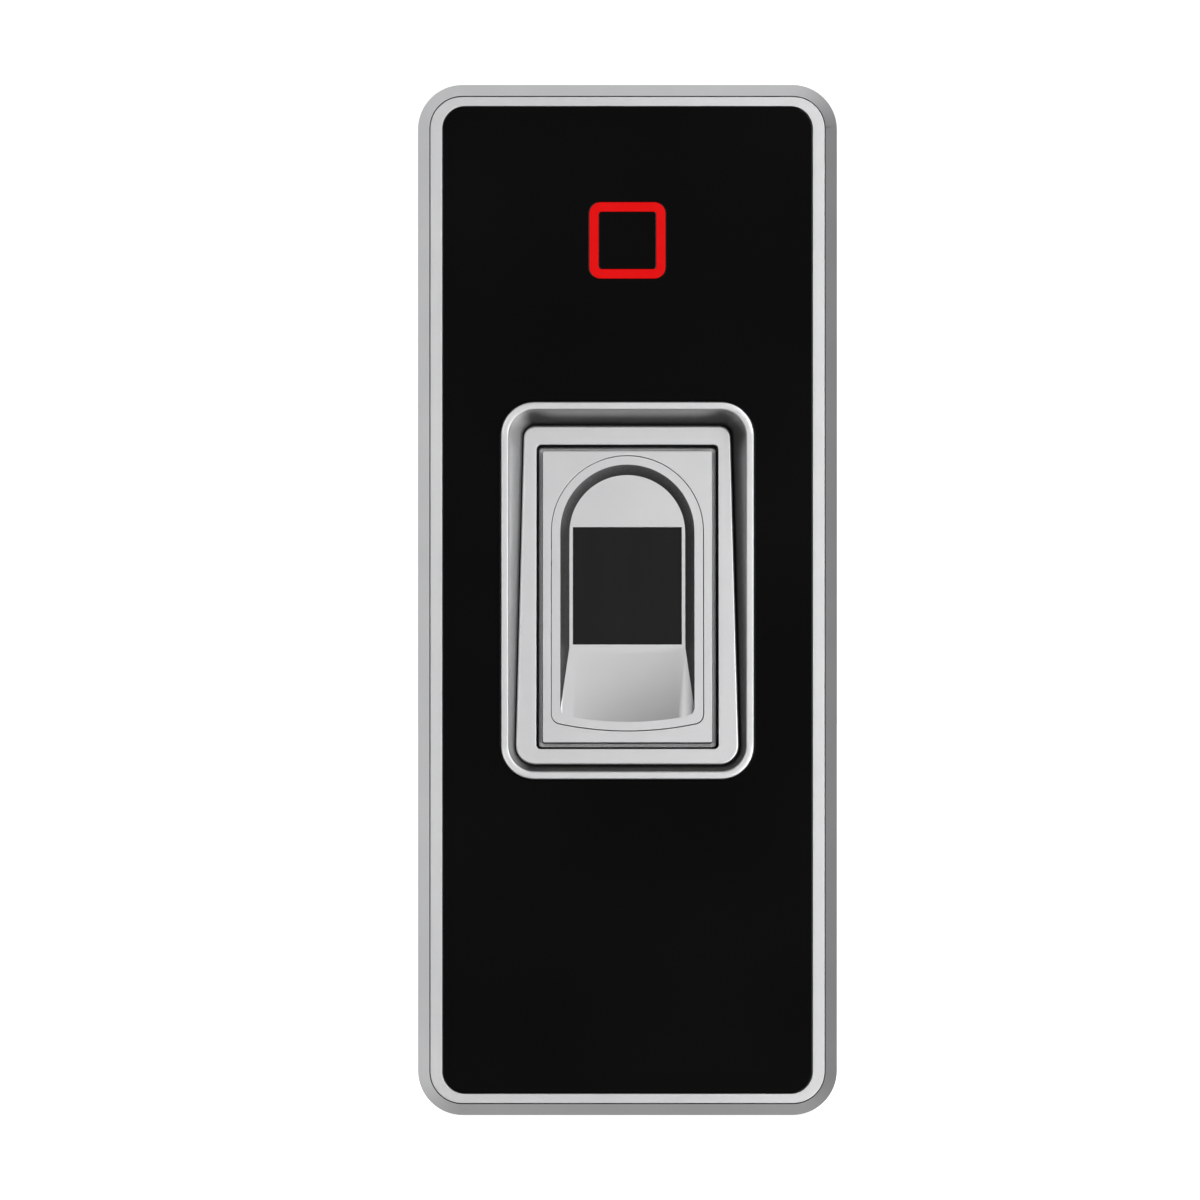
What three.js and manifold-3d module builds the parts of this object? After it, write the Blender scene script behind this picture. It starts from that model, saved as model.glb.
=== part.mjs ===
// Wall-mounted fingerprint scanner terminal: a slim die-cast terminal with a glossy face and a
// finger recess, hung on a steel wall plate.
// Everything is drawn lying on its back: x to the right, y up the wall, z out from the wall, in
// millimetres. The last group stands it up, so that in the part's frame +Z is up, -Y is the front,
// and the origin is the middle of the wall plate's back, on the wall.
import * as THREE from 'three';
import { mergeVertices } from 'three/addons/utils/BufferGeometryUtils.js';
import Module from 'manifold-3d';

const wasm = await Module();
wasm.setup();

// ---------------------------------------------------------------- driving dimensions

// Clearances
const seat = 0.05; // between a piece and what it is laid on
const fit = 0.15; // round a piece that drops into an opening
const running = 0.3; // round a piece that moves, or is screwed through

// Housing
const width = 60.2;
const height = 148;
const depth = 22; // wall to front rim
const cornerRadius = 6.4;
const slopeWidth = 1.7; // the sloping band round the front edge
const slopeRise = 1.7;
const shadowGap = 1.5; // wall to the back of the terminal
const rebateWall = 2.2; // wall beside the back cover
const bodyWall = 3.3; // wall in front of the back cover
const ledgeThickness = 2.5;
const ledgeWidth = 3.6; // how far the ledge reaches in under the panel's edge

// Trim ring and front panel
const trimSeam = 0.2;
const trimWidthSide = 1.65;
const trimWidthEnd = 1.3;
const trimThickness = 2;
const panelInset = 0.2; // panel face below the rim
const panelThickness = 1.5;
const panelGap = 0.08;
const tapeWidth = 3;

// Back cover and its seal
const coverThickness = 1.6;
const coverGap = 0.2;
const sealThickness = 0.8;
const sealWidth = 1.6;

// Carrier, the moulded plate behind the front panel
const carrierThickness = 1.8;
const carrierGap = 0.2;

// Wall plate
const plateWidth = 42;
const plateThickness = 1.2;
const hookDrop = 9.5; // housing's top to the plate's upper edge, where the hooks turn forward
const lugRise = 7.5; // housing's bottom to the underside of the lock screw's lug
const plateCorner = 3;
const hookInset = 9.8; // cover screws' line to the hooks' middle
const hookWidth = 8;
const hookTipRise = 2.5;
const hookTipGap = 0.6; // from the cover's inner face to the upturned tip
const lugWidth = 10;
const lugReach = 12;
const slotSpacing = 83.5; // between the two wall screws
const slotWidth = 4.6;
const slotLength = 9;
const slotSink = 1.7; // countersink round each slot
const cableWindowWidth = 26;
const cableWindowHeight = 30;
const cableY = -19;

// Status indicator
const indicatorRaise = 2; // above the middle between the bezel and the panel's upper edge
const indicatorSize = 11;
const indicatorStroke = 1.4;
const indicatorCorner = 1.66;
const indicatorInlay = 0.6;
const lightGuideWall = 1.6;
const lightGuideFlange = 2;
const lightGuideFlangeThickness = 1.5;

// Sensor bezel: a cup through the panel
const moduleY = 1.35;
const bezelMarginSide = 5.95; // face plate's edge to the bezel's
const bezelMarginEnd = 6;
const bezelCorner = 4.8;
const bezelProud = 0.8; // above the panel's face
const bezelRing = 1.12; // width of the flat ring
const bezelDraft = 18; // degrees, of the cup's inner wall
const bezelDepth = 9.6; // ring to the cup's floor
const bezelFloor = 1.1;
const bezelFlange = 4;
const bezelFlangeThickness = 2;

// The tilted face inside the bezel
const faceTilt = 4.36; // degrees
const faceSink = 3.7; // below the ring, at the module's middle
const insertGap = 0.3;
const faceMarginSide = 1.23; // finger guide's edge to the face plate's
const faceMarginTop = 0.68;
const faceMarginBottom = 1.66;
const plateFaceThickness = 3.2;
const plateFaceFlange = 0.6;
const plateFaceFlangeThickness = 1.2;
const grooveWidth = 0.9;
const insertLedge = 1.5; // how far the ledge under the face plate reaches in

// Finger guide: arch-topped, with a recess that ends in a ramp
const guideRadius = 10.97;
const guideArchV = 8.55;
const guideBottomV = -20.24;
const guideBottomRadius = 47.6;
const guideCorner = 1.1;
const guideSeam = 0.08;
const guideProud = 0.12;
const guideThickness = 5;
const guideLip = 1.32;
const recessWall = 1.3; // how far the recess narrows from its rim to its floor
const recessDepth = 2.2;
const recessFloor = 1.3;
const rampTopV = -9.5;
const windowWidth = 15.56;
const windowHeight = 16.83;
const windowV = 0.87;
const windowThickness = 1;
const windowInset = 0.1;
const chipThickness = 1.2;
const sensorBoardWidth = 21;
const sensorBoardHeight = 36;
const sensorBoardThickness = 1;

// Circuit board
const boardSideGap = 5.1; // housing's outside to the board's edge
const boardEndGap = 12;
const boardThickness = 1.6;
const boardBackGap = 4.3; // cover's inner face to the board's back

// Fasteners: [shank diameter, head diameter, head height, shank length]
const coverScrewSize = [2.5, 4.4, 1, 9];
const boardScrewSize = [2, 3.8, 1.2, 5];
const bezelScrewSize = [1.6, 3, 1.1, 4.4];
const bracketScrewSize = [1.6, 3, 1.1, 3.6];
const carrierScrewSize = [1.8, 3.4, 1.1, 3.4];
const lockScrewSize = [3, 5.6, 2, 4.9];
const lockScrewTravel = 3;
const lockScrewZ = 9; // out from the wall
const lockBossDiameter = 9.4;
const lockBossFloor = 1;

// Tamper plunger
const tamperDrop = 12.7; // below the hooks, so that it follows the plate as the terminal tilts
const plungerDiameter = 5;
const plungerBore = 3.8;
const plungerTipWall = 0.8;
const plungerFlange = 0.8;
const plungerFlangeThickness = 0.7;
const springWire = 0.4;
const springTurns = 5;

// Cable grommet
const grommetBore = 7;
const grommetBody = 10.6;
const grommetFlange = 13.2;
const grommetLip = 0.9;

// ---------------------------------------------------------------- levels and outlines they give

const coverFront = shadowGap + coverThickness;
const sealFront = coverFront + 2 * seat + sealThickness;
const stepZ = sealFront + seat;
const ledgeFront = depth - trimThickness;
const ledgeBack = ledgeFront - ledgeThickness;
const panelFront = depth - panelInset;
const panelBack = panelFront - panelThickness;
const carrierFront = ledgeBack - carrierGap;
const carrierBack = carrierFront - carrierThickness;
const boardBack = coverFront + boardBackGap;
const boardFront = boardBack + boardThickness;

const panelOpeningWidth = width - 2 * (slopeWidth + trimSeam + trimWidthSide);
const panelOpeningHeight = height - 2 * (slopeWidth + trimSeam + trimWidthEnd);
const panelCorner = cornerRadius - slopeWidth - trimSeam - trimWidthEnd;
const faceOpeningWidth = panelOpeningWidth - 2 * ledgeWidth;
const faceOpeningHeight = panelOpeningHeight - 2 * ledgeWidth;
const innerWidth = width - 2 * bodyWall;
const innerHeight = height - 2 * bodyWall;
const innerCorner = Math.max(cornerRadius - bodyWall, 0.5);

const plateTop = height / 2 - hookDrop;
const lugY = lugRise - height / 2;

const plateFaceTopV = guideArchV + guideRadius + faceMarginTop;
const plateFaceBottomV = guideBottomV - faceMarginBottom;
const plateFaceV = (plateFaceTopV + plateFaceBottomV) / 2;
const plateFaceHeight = plateFaceTopV - plateFaceBottomV;
const plateFaceWidth = 2 * (guideRadius + faceMarginSide);
const bezelWidth = plateFaceWidth + 2 * bezelMarginSide;
const bezelHeight = plateFaceHeight + 2 * bezelMarginEnd;
const indicatorY = (moduleY + bezelHeight / 2 + panelOpeningHeight / 2) / 2 + indicatorRaise;
const flangeTop = moduleY + bezelHeight / 2 + bezelFlange;
const flangeBottom = moduleY - bezelHeight / 2 - bezelFlange;

const ringZ = panelFront + bezelProud;
const bezelFloorTop = ringZ - bezelDepth;
const bezelBack = bezelFloorTop - bezelFloor;
const draftSlope = Math.tan(THREE.MathUtils.degToRad(bezelDraft));
const draftIn = bezelDepth * draftSlope;
const mouthWidth = bezelWidth - 2 * bezelRing;
const mouthHeight = bezelHeight - 2 * bezelRing;
const mouthCorner = bezelCorner - bezelRing;
const floorWidth = mouthWidth - 2 * draftIn;
const floorHeight = mouthHeight - 2 * draftIn;
const floorCorner = Math.max(mouthCorner - draftIn, 0.4);
const insertBack = bezelFloorTop + fit;

const boardWidth = width - 2 * boardSideGap;
const boardHeight = height - 2 * boardEndGap;
const boardScrewX = boardWidth / 2 - 2.5;
const boardScrewY = boardHeight / 2 - 10;
const coverScrewX = innerWidth / 2 - 3;
const coverScrewY = innerHeight / 2 - 3;
const hookX = coverScrewX - hookInset;
const coverBossRadius = 3.4;
const carrierScrewX = (innerWidth + faceOpeningWidth) / 4;
const carrierScrewY = boardScrewY + 7;
const bezelScrewX = bezelWidth / 2 + bezelFlange / 2 + 0.1;
const bezelScrewY = bezelHeight / 2 - 5;
const bracketScrewX = bezelWidth / 2 - 1.8;
const tamperY = plateTop - tamperDrop;

// ---------------------------------------------------------------- finishes

const satinSilver = { color: 0xc4c5c6, roughness: 0.38, metalness: 0.9 };
const brightSilver = { color: 0xd4d5d6, roughness: 0.32, metalness: 0.9 };
const glossBlack = { color: 0x0a0a0a, roughness: 0.08, metalness: 0 };
const indicatorRed = { color: 0xe60a0a, roughness: 0.3, metalness: 0, emissive: 0xaa0000 };
const blackPlastic = { color: 0x1a1a1b, roughness: 0.55, metalness: 0 };
const sensorDark = { color: 0x242424, roughness: 0.45, metalness: 0 };
const boardGreen = { color: 0x14502c, roughness: 0.5, metalness: 0 };
const zincSteel = { color: 0xa9abad, roughness: 0.45, metalness: 0.9 };
const darkSteel = { color: 0x55575a, roughness: 0.4, metalness: 0.9 };
const blackRubber = { color: 0x151515, roughness: 0.85, metalness: 0 };
const chipBlack = { color: 0x101112, roughness: 0.6, metalness: 0 };
const clearGuide = { color: 0xdedede, roughness: 0.25, metalness: 0 };
const copper = { color: 0xb5622d, roughness: 0.35, metalness: 0.9 };
const creamPlastic = { color: 0xe6dfcb, roughness: 0.5, metalness: 0 };
const flexAmber = { color: 0xa55d12, roughness: 0.4, metalness: 0 };
const blueRelay = { color: 0x1b2f6b, roughness: 0.5, metalness: 0 };
const ledWhite = { color: 0xefe9d8, roughness: 0.4, metalness: 0 };
const canAluminium = { color: 0xb9bbbd, roughness: 0.35, metalness: 0.9 };

// ---------------------------------------------------------------- shape tools

// A rectangle with round corners, about (cx, cy).
function roundedRect(w, h, r, cx = 0, cy = 0) {
  const shape = new THREE.Shape();
  const x = w / 2;
  const y = h / 2;
  const c = Math.min(r, x - 0.01, y - 0.01);
  shape.absarc(cx + x - c, cy + y - c, c, 0, Math.PI / 2);
  shape.absarc(cx - x + c, cy + y - c, c, Math.PI / 2, Math.PI);
  shape.absarc(cx - x + c, cy - y + c, c, Math.PI, Math.PI * 1.5);
  shape.absarc(cx + x - c, cy - y + c, c, Math.PI * 1.5, Math.PI * 2);
  shape.closePath();
  return shape;
}

// A flat shape given thickness, from z0 to z1.
function slab(shape, z0, z1, curveSegments = 3) {
  const options = { depth: z1 - z0, bevelEnabled: false, curveSegments };
  return new THREE.ExtrudeGeometry(shape, options).translate(0, 0, z0);
}

// A shape at z0 that widens by grow all round up to z1, and goes straight on by over.
function drafted(shape, z0, z1, grow, over, curveSegments = 3) {
  const options = {
    depth: over,
    bevelEnabled: true,
    bevelThickness: z1 - z0,
    bevelSize: grow,
    bevelSegments: 1,
    curveSegments,
  };
  return new THREE.ExtrudeGeometry(shape, options).translate(0, 0, z1);
}

function block(w, h, cx, cy, z0, z1) {
  return new THREE.BoxGeometry(w, h, z1 - z0).translate(cx, cy, (z0 + z1) / 2);
}

// A disc or rod along z.
function rod(diameter, cx, cy, z0, z1, sides = 20) {
  const made = new THREE.CylinderGeometry(diameter / 2, diameter / 2, z1 - z0, sides);
  return made.rotateX(Math.PI / 2).translate(cx, cy, (z0 + z1) / 2);
}

// A profile of [radius, z] turned round the z axis at (cx, cy).
function turned(profile, cx, cy, sides = 20) {
  const points = profile.map(([r, z]) => new THREE.Vector2(r, z));
  return new THREE.LatheGeometry(points, sides).rotateX(Math.PI / 2).translate(cx, cy, 0);
}

function solid(geometry) {
  const bare = geometry.clone();
  bare.deleteAttribute('normal');
  bare.deleteAttribute('uv');
  const merged = mergeVertices(bare, 1e-4);
  return new wasm.Manifold(new wasm.Mesh({
    numProp: 3,
    vertProperties: merged.attributes.position.array,
    triVerts: new Uint32Array(merged.index.array),
  }));
}

function surface(made) {
  const mesh = made.getMesh();
  const geometry = new THREE.BufferGeometry();
  geometry.setAttribute('position', new THREE.BufferAttribute(mesh.vertProperties, 3));
  geometry.setIndex(new THREE.BufferAttribute(mesh.triVerts, 1));
  const faceted = geometry.toNonIndexed();
  faceted.computeVertexNormals();
  return faceted;
}

// The first geometry with the others joined to it.
function join(first, ...others) {
  return surface(others.reduce((made, other) => made.add(solid(other)), solid(first)));
}

// The first geometry with the others cut out of it.
function cut(first, ...others) {
  return surface(others.reduce((made, other) => made.subtract(solid(other)), solid(first)));
}

function piece(name, geometry, finish) {
  const mesh = new THREE.Mesh(geometry, new THREE.MeshStandardMaterial(finish));
  mesh.name = name;
  return mesh;
}

// The four places (x, y), (-x, y), (-x, -y) and (x, -y) about a middle.
function corners(x, y, cy = 0) {
  return [[x, cy + y], [-x, cy + y], [-x, cy - y], [x, cy - y]];
}

// A cross-head screw whose head's underside is at z and whose shank runs up from there.
function screw([shank, head, headHeight, length], cx, cy, z) {
  const body = turned([
    [0, z - headHeight],
    [head / 2 - 0.2, z - headHeight],
    [head / 2, z - headHeight + 0.2],
    [head / 2, z],
    [shank / 2, z],
    [shank / 2, z + length - shank / 3],
    [0, z + length],
  ], cx, cy, 12);
  const arm = head * 0.55;
  const blade = head * 0.14;
  const sink = z - headHeight * 0.45;
  const under = z - headHeight - 1;
  return cut(
    body,
    block(arm, blade, cx, cy, under, sink),
    block(blade, arm, cx, cy, under, sink),
  );
}

// The tilted face: x across, v up the face, n out of it.
const faceZ = ringZ - faceSink;
const tilt = new THREE.Matrix4()
  .makeTranslation(0, moduleY, faceZ)
  .multiply(new THREE.Matrix4().makeRotationX(-THREE.MathUtils.degToRad(faceTilt)));

function onFace(geometry) {
  return geometry.applyMatrix4(tilt);
}

// ---------------------------------------------------------------- wall plate

function wallPlate() {
  const plateHeight = plateTop - lugY;
  const middle = (plateTop + lugY) / 2;
  const sheet = slab(
    roundedRect(plateWidth, plateHeight, plateCorner, 0, middle), 0, plateThickness,
  );
  const cableWindow = slab(
    roundedRect(cableWindowWidth, cableWindowHeight, 2, 0, cableY), -1, plateThickness + 1,
  );
  const upright = [slotWidth, slotLength, slotSpacing / 2];
  const level = [slotLength, slotWidth, -slotSpacing / 2];
  const slots = [upright, level].flatMap(([w, h, y]) => [
    slab(roundedRect(w, h, slotWidth / 2, 0, y), -1, plateThickness + 1),
    drafted(
      roundedRect(w, h, slotWidth / 2, 0, y), 0.1, plateThickness, slotSink - 0.1, 1,
    ),
  ]);
  const tipBack = coverFront + hookTipGap;
  const hooks = [hookX, -hookX].flatMap((x) => [
    block(
      hookWidth, plateThickness, x, plateTop - plateThickness / 2, 0.1, tipBack + plateThickness,
    ),
    block(
      hookWidth, plateThickness + hookTipRise, x, plateTop + (hookTipRise - plateThickness) / 2,
      tipBack, tipBack + plateThickness,
    ),
  ]);
  const lug = block(lugWidth, plateThickness, 0, lugY + plateThickness / 2, 0.1, lugReach);
  const lugHole = new THREE.CylinderGeometry(
    lockScrewSize[0] / 2 + running + 0.1, lockScrewSize[0] / 2 + running + 0.1, 4, 20,
  ).translate(0, lugY, lockScrewZ);
  return cut(join(sheet, ...hooks, lug), cableWindow, ...slots, lugHole);
}

// ---------------------------------------------------------------- housing and its covers

function housing() {
  const straight = depth - slopeRise - shadowGap;
  const outline = roundedRect(
    width - 2 * slopeWidth, height - 2 * slopeWidth, cornerRadius - slopeWidth,
  );
  const body = new THREE.ExtrudeGeometry(outline, {
    depth: straight,
    bevelEnabled: true,
    bevelThickness: slopeRise,
    bevelSize: slopeWidth,
    bevelSegments: 1,
    curveSegments: 4,
  }).translate(0, 0, shadowGap);
  const squareBack = drafted(outline, shadowGap - 2, shadowGap - 1, slopeWidth, straight / 2, 4);
  const behind = block(width * 2, height * 2, 0, 0, -40, shadowGap);
  const rebate = slab(
    roundedRect(
      width - 2 * rebateWall, height - 2 * rebateWall, cornerRadius - rebateWall,
    ), shadowGap - 1, stepZ,
  );
  const hollow = slab(roundedRect(innerWidth, innerHeight, innerCorner), stepZ - 1, ledgeBack);
  const mouth = slab(
    roundedRect(faceOpeningWidth, faceOpeningHeight, 1), ledgeBack - 1, ledgeFront + 1,
  );
  const trimSeatShape = roundedRect(
    width - 2 * slopeWidth, height - 2 * slopeWidth, cornerRadius - slopeWidth,
  );
  const trimSeat = slab(trimSeatShape, ledgeFront, depth + 1, 4);
  const shell = cut(join(body, squareBack), behind, rebate, hollow, mouth, trimSeat);

  const coverBosses = corners(coverScrewX, coverScrewY).map(([x, y]) =>
    rod(coverBossRadius * 2, x, y, stepZ, ledgeBack + 0.5));
  const bossLength = height / 2 - rebateWall + lockBossTop();
  const lockBoss = new THREE.CylinderGeometry(
    lockBossDiameter / 2, lockBossDiameter / 2, bossLength, 24,
  ).translate(0, lockBossTop() - bossLength / 2, lockScrewZ);
  const coverHoles = corners(coverScrewX, coverScrewY).map(([x, y]) =>
    rod(coverScrewSize[0] + 2 * fit, x, y, stepZ - 1, shadowGap + 12, 14));
  const carrierHoles = corners(carrierScrewX, carrierScrewY).map(([x, y]) =>
    rod(carrierScrewSize[0] + 2 * fit, x, y, ledgeBack - 1, ledgeFront - 0.5, 12));
  return cut(
    join(shell, ...coverBosses, lockBoss),
    ...coverHoles,
    ...carrierHoles,
    lockCounterbore(),
    lockHole(),
  );
}

// The lock screw's boss stands on the bottom wall; its top is where the captive screw's tip shows.
function lockBossTop() {
  return -height / 2 + lockHeadRoom() + lockBossFloor;
}

function lockHeadRoom() {
  return seat + lockScrewSize[2] + lockScrewTravel + seat * 2;
}

function lockCounterbore() {
  const radius = lockScrewSize[1] / 2 + running;
  const length = lockHeadRoom() + 1;
  return new THREE.CylinderGeometry(radius, radius, length, 24)
    .translate(0, -height / 2 - 1 + length / 2, lockScrewZ);
}

function lockHole() {
  const radius = lockScrewSize[0] / 2 + running;
  return new THREE.CylinderGeometry(radius, radius, 6, 20)
    .translate(0, lockBossTop(), lockScrewZ);
}

// A captive M3 screw with a pin-in-socket head, backed out until its head is flush.
function lockScrew() {
  const [shank, head, headHeight, length] = lockScrewSize;
  const under = -height / 2 + seat;
  const body = turned([
    [0, under],
    [head / 2 - 0.3, under],
    [head / 2, under + 0.3],
    [head / 2, under + headHeight],
    [shank / 2, under + headHeight],
    [shank / 2, under + headHeight + length - 0.5],
    [shank / 2 - 0.5, under + headHeight + length],
    [0, under + headHeight + length],
  ], 0, 0);
  const socket = rod(2.9, 0, 0, under - 1, under + 1.2, 6);
  const pin = rod(1, 0, 0, under + 0.3, under + 1.4, 10);
  const made = surface(solid(body).subtract(solid(socket)).add(solid(pin)));
  return made.rotateX(-Math.PI / 2).translate(0, 0, lockScrewZ);
}

function frontTrim() {
  const outer = roundedRect(
    width - 2 * (slopeWidth + trimSeam), height - 2 * (slopeWidth + trimSeam),
    cornerRadius - slopeWidth - trimSeam,
  );
  outer.holes.push(roundedRect(panelOpeningWidth, panelOpeningHeight, panelCorner));
  return slab(outer, ledgeFront + seat, depth, 4);
}

function frontPanel() {
  const sheet = slab(roundedRect(
    panelOpeningWidth - 2 * panelGap, panelOpeningHeight - 2 * panelGap, panelCorner - panelGap,
  ), panelBack, panelFront, 4);
  const bezelHole = slab(roundedRect(
    bezelWidth + 2 * fit, bezelHeight + 2 * fit, bezelCorner + fit, 0, moduleY,
  ), panelBack - 1, panelFront + 1, 4);
  const inlay = slab(
    squareOutline(indicatorSize, indicatorStroke, indicatorCorner, 0),
    panelFront - indicatorInlay, panelFront + 1,
  );
  return cut(sheet, bezelHole, inlay);
}

// The square outline of the status indicator, shrunk on both edges by gap.
function squareOutline(size, stroke, corner, gap) {
  const outer = roundedRect(size - 2 * gap, size - 2 * gap, corner - gap, 0, indicatorY);
  const inner = size - 2 * stroke + 2 * gap;
  outer.holes.push(roundedRect(inner, inner, Math.max(corner - stroke, 0.4) + gap, 0, indicatorY));
  return outer;
}

function indicatorRing() {
  const shape = squareOutline(indicatorSize, indicatorStroke, indicatorCorner, seat);
  return slab(shape, panelFront - indicatorInlay + seat, panelFront);
}

function panelTape() {
  const w = panelOpeningWidth - 2 * panelGap;
  const h = panelOpeningHeight - 2 * panelGap;
  const shape = roundedRect(w, h, panelCorner);
  shape.holes.push(roundedRect(w - 2 * tapeWidth, h - 2 * tapeWidth, 1));
  return slab(shape, ledgeFront + seat, panelBack - seat);
}

function frontCarrier() {
  const sheet = slab(
    roundedRect(innerWidth - 2 * carrierGap, innerHeight - 2 * carrierGap, innerCorner),
    carrierBack, carrierFront,
  );
  const pad = slab(
    roundedRect(faceOpeningWidth - 2 * carrierGap, faceOpeningHeight - 2 * carrierGap, 1),
    carrierFront - 0.5, ledgeFront,
  );
  const bosses = corners(boardScrewX, boardScrewY).map(([x, y]) =>
    rod(boardScrewSize[1] + 0.6, x, y, boardFront + seat, carrierBack + 0.5));
  const bezelHole = slab(roundedRect(
    bezelWidth + 2 * running, bezelHeight + 2 * running, bezelCorner + running, 0, moduleY,
  ), carrierBack - 1, ledgeFront + 1);
  const guideHole = indicatorSize + 2 * running;
  const lightHole = block(guideHole, guideHole, 0, indicatorY, carrierBack - 1, ledgeFront + 1);
  const notches = corners(coverScrewX, coverScrewY).map(([x, y]) =>
    rod(2 * (coverBossRadius + running), x, y, carrierBack - 1, ledgeFront + 1));
  const boardHoles = corners(boardScrewX, boardScrewY).map(([x, y]) =>
    rod(boardScrewSize[0] + 2 * fit, x, y, boardFront - 1, carrierBack - 1, 12));
  const bezelHoles = corners(bezelScrewX, bezelScrewY, moduleY).map(([x, y]) =>
    rod(bezelScrewSize[0] + 2 * fit, x, y, carrierBack - 1, carrierBack + 3.2, 12));
  const carrierHoles = corners(carrierScrewX, carrierScrewY).map(([x, y]) =>
    rod(carrierScrewSize[0] + 2 * fit, x, y, carrierBack - 1, carrierFront + 1, 12));
  return cut(
    join(sheet, pad, ...bosses),
    bezelHole, lightHole, ...notches, ...boardHoles, ...bezelHoles, ...carrierHoles,
  );
}

function backCover() {
  const sheet = slab(roundedRect(
    width - 2 * (rebateWall + coverGap), height - 2 * (rebateWall + coverGap),
    cornerRadius - rebateWall - coverGap,
  ), shadowGap, coverFront);
  const hookSlotTop = plateTop + running;
  const hookSlotHeight = plateThickness + hookTipRise + 2 * running;
  const hookSlots = [hookX, -hookX].map((x) => block(
    hookWidth + 4 * running, hookSlotHeight, x, hookSlotTop - hookSlotHeight / 2,
    shadowGap - 1, coverFront + 1,
  ));
  const lugSlotHeight = plateThickness + 2 * (plateThickness - seat);
  const lugSlot = block(
    lugWidth + 4 * running, lugSlotHeight, 0, lugY + plateThickness / 2,
    shadowGap - 1, coverFront + 1,
  );
  const tamperHole = rod(
    plungerDiameter + 2 * running, 0, tamperY, shadowGap - 1, coverFront + 1,
  );
  const cableHole = rod(grommetBody + 2 * fit, 0, cableY, shadowGap - 1, coverFront + 1, 24);
  const [shank, head, headHeight] = coverScrewSize;
  const screwHoles = corners(coverScrewX, coverScrewY).flatMap(([x, y]) => [
    rod(shank + 2 * fit, x, y, shadowGap - 1, coverFront + 1, 14),
    rod(head + 2 * fit, x, y, shadowGap - 1, shadowGap + headHeight + 2 * seat, 16),
  ]);
  return cut(sheet, ...hookSlots, lugSlot, tamperHole, cableHole, ...screwHoles);
}

function coverSeal() {
  const w = width - 2 * (rebateWall + coverGap);
  const h = height - 2 * (rebateWall + coverGap);
  const corner = cornerRadius - rebateWall - coverGap;
  const shape = roundedRect(w, h, corner);
  shape.holes.push(roundedRect(w - 2 * sealWidth, h - 2 * sealWidth, corner - sealWidth));
  return slab(shape, coverFront + seat, coverFront + seat + sealThickness);
}

function cableGrommet() {
  const gap = seat * 2;
  return turned([
    [grommetBore / 2, shadowGap - gap - grommetLip],
    [grommetFlange / 2, shadowGap - gap - grommetLip],
    [grommetFlange / 2, shadowGap - gap],
    [grommetBody / 2, shadowGap - gap],
    [grommetBody / 2, coverFront + gap],
    [grommetFlange / 2, coverFront + gap],
    [grommetFlange / 2, coverFront + gap + grommetLip],
    [grommetBore / 2, coverFront + gap + grommetLip],
    [grommetBore / 2, shadowGap - gap - grommetLip],
  ], 0, cableY, 24);
}

// ---------------------------------------------------------------- finger sensor module

function sensorBezel() {
  const cup = slab(
    roundedRect(bezelWidth, bezelHeight, bezelCorner, 0, moduleY), bezelBack, ringZ, 4,
  );
  const flangeFront = carrierBack - fit;
  const flange = slab(roundedRect(
    bezelWidth + 2 * bezelFlange, bezelHeight + 2 * bezelFlange, bezelCorner + 1, 0, moduleY,
  ), flangeFront - bezelFlangeThickness, flangeFront);
  const cavity = drafted(
    roundedRect(floorWidth, floorHeight, floorCorner, 0, moduleY),
    bezelFloorTop, ringZ, draftIn, 3, 4,
  );
  const floorOpening = block(
    sensorBoardWidth + 4, sensorBoardHeight + 7, 0, moduleY, bezelBack - 1, bezelFloorTop + 1,
  );
  const flangeHoles = corners(bezelScrewX, bezelScrewY, moduleY).map(([x, y]) =>
    rod(bezelScrewSize[0] + 2 * running, x, y, 0, flangeFront + 1, 12));
  const bracketHoles = [bracketScrewX, -bracketScrewX].map((x) =>
    rod(bracketScrewSize[0] + 2 * fit, x, moduleY, bezelBack - 1, bezelBack + 3, 12));
  return cut(join(cup, flange), cavity, floorOpening, ...flangeHoles, ...bracketHoles);
}

// The silver frame that fills the bezel: a wedge whose front is the tilted face.
function insertFrame() {
  const rise = ringZ - insertBack;
  const wedge = drafted(
    roundedRect(
      floorWidth - 2 * insertGap, floorHeight - 2 * insertGap, floorCorner, 0, moduleY,
    ), insertBack, ringZ, rise * draftSlope, 1, 4,
  );
  const above = onFace(block(width, height, 0, 0, 0, 30));
  const pocketBack = -plateFaceThickness - running / 2;
  const pocketWidth = plateFaceWidth + 2 * grooveWidth;
  const pocketHeight = plateFaceHeight + 2 * grooveWidth;
  const pocket = onFace(slab(
    roundedRect(pocketWidth, pocketHeight, 0.6, 0, plateFaceV), pocketBack, 5,
  ));
  const through = onFace(block(
    pocketWidth - 2 * insertLedge, pocketHeight - 2 * insertLedge, 0, plateFaceV, -20, 5,
  ));
  return cut(wedge, above, pocket, through);
}

// The guide's outline, set in by inset: an arch over straight sides and a shallow round bottom.
function archOutline(inset) {
  const r = guideRadius - inset;
  const bottomCentre = guideBottomV + guideBottomRadius;
  const bottomRadius = guideBottomRadius - inset;
  const cornerX = r - guideCorner;
  const reach = bottomRadius - guideCorner;
  const cornerV = bottomCentre - Math.sqrt(reach * reach - cornerX * cornerX);
  const left = Math.atan2(cornerV - bottomCentre, -cornerX);
  const right = Math.atan2(cornerV - bottomCentre, cornerX);
  const shape = new THREE.Shape();
  shape.absarc(0, guideArchV, r, 0, Math.PI);
  shape.absarc(-cornerX, cornerV, guideCorner, Math.PI, left + 2 * Math.PI);
  shape.absarc(0, bottomCentre, bottomRadius, left, right);
  shape.absarc(cornerX, cornerV, guideCorner, right, 0);
  shape.closePath();
  return shape;
}

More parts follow.
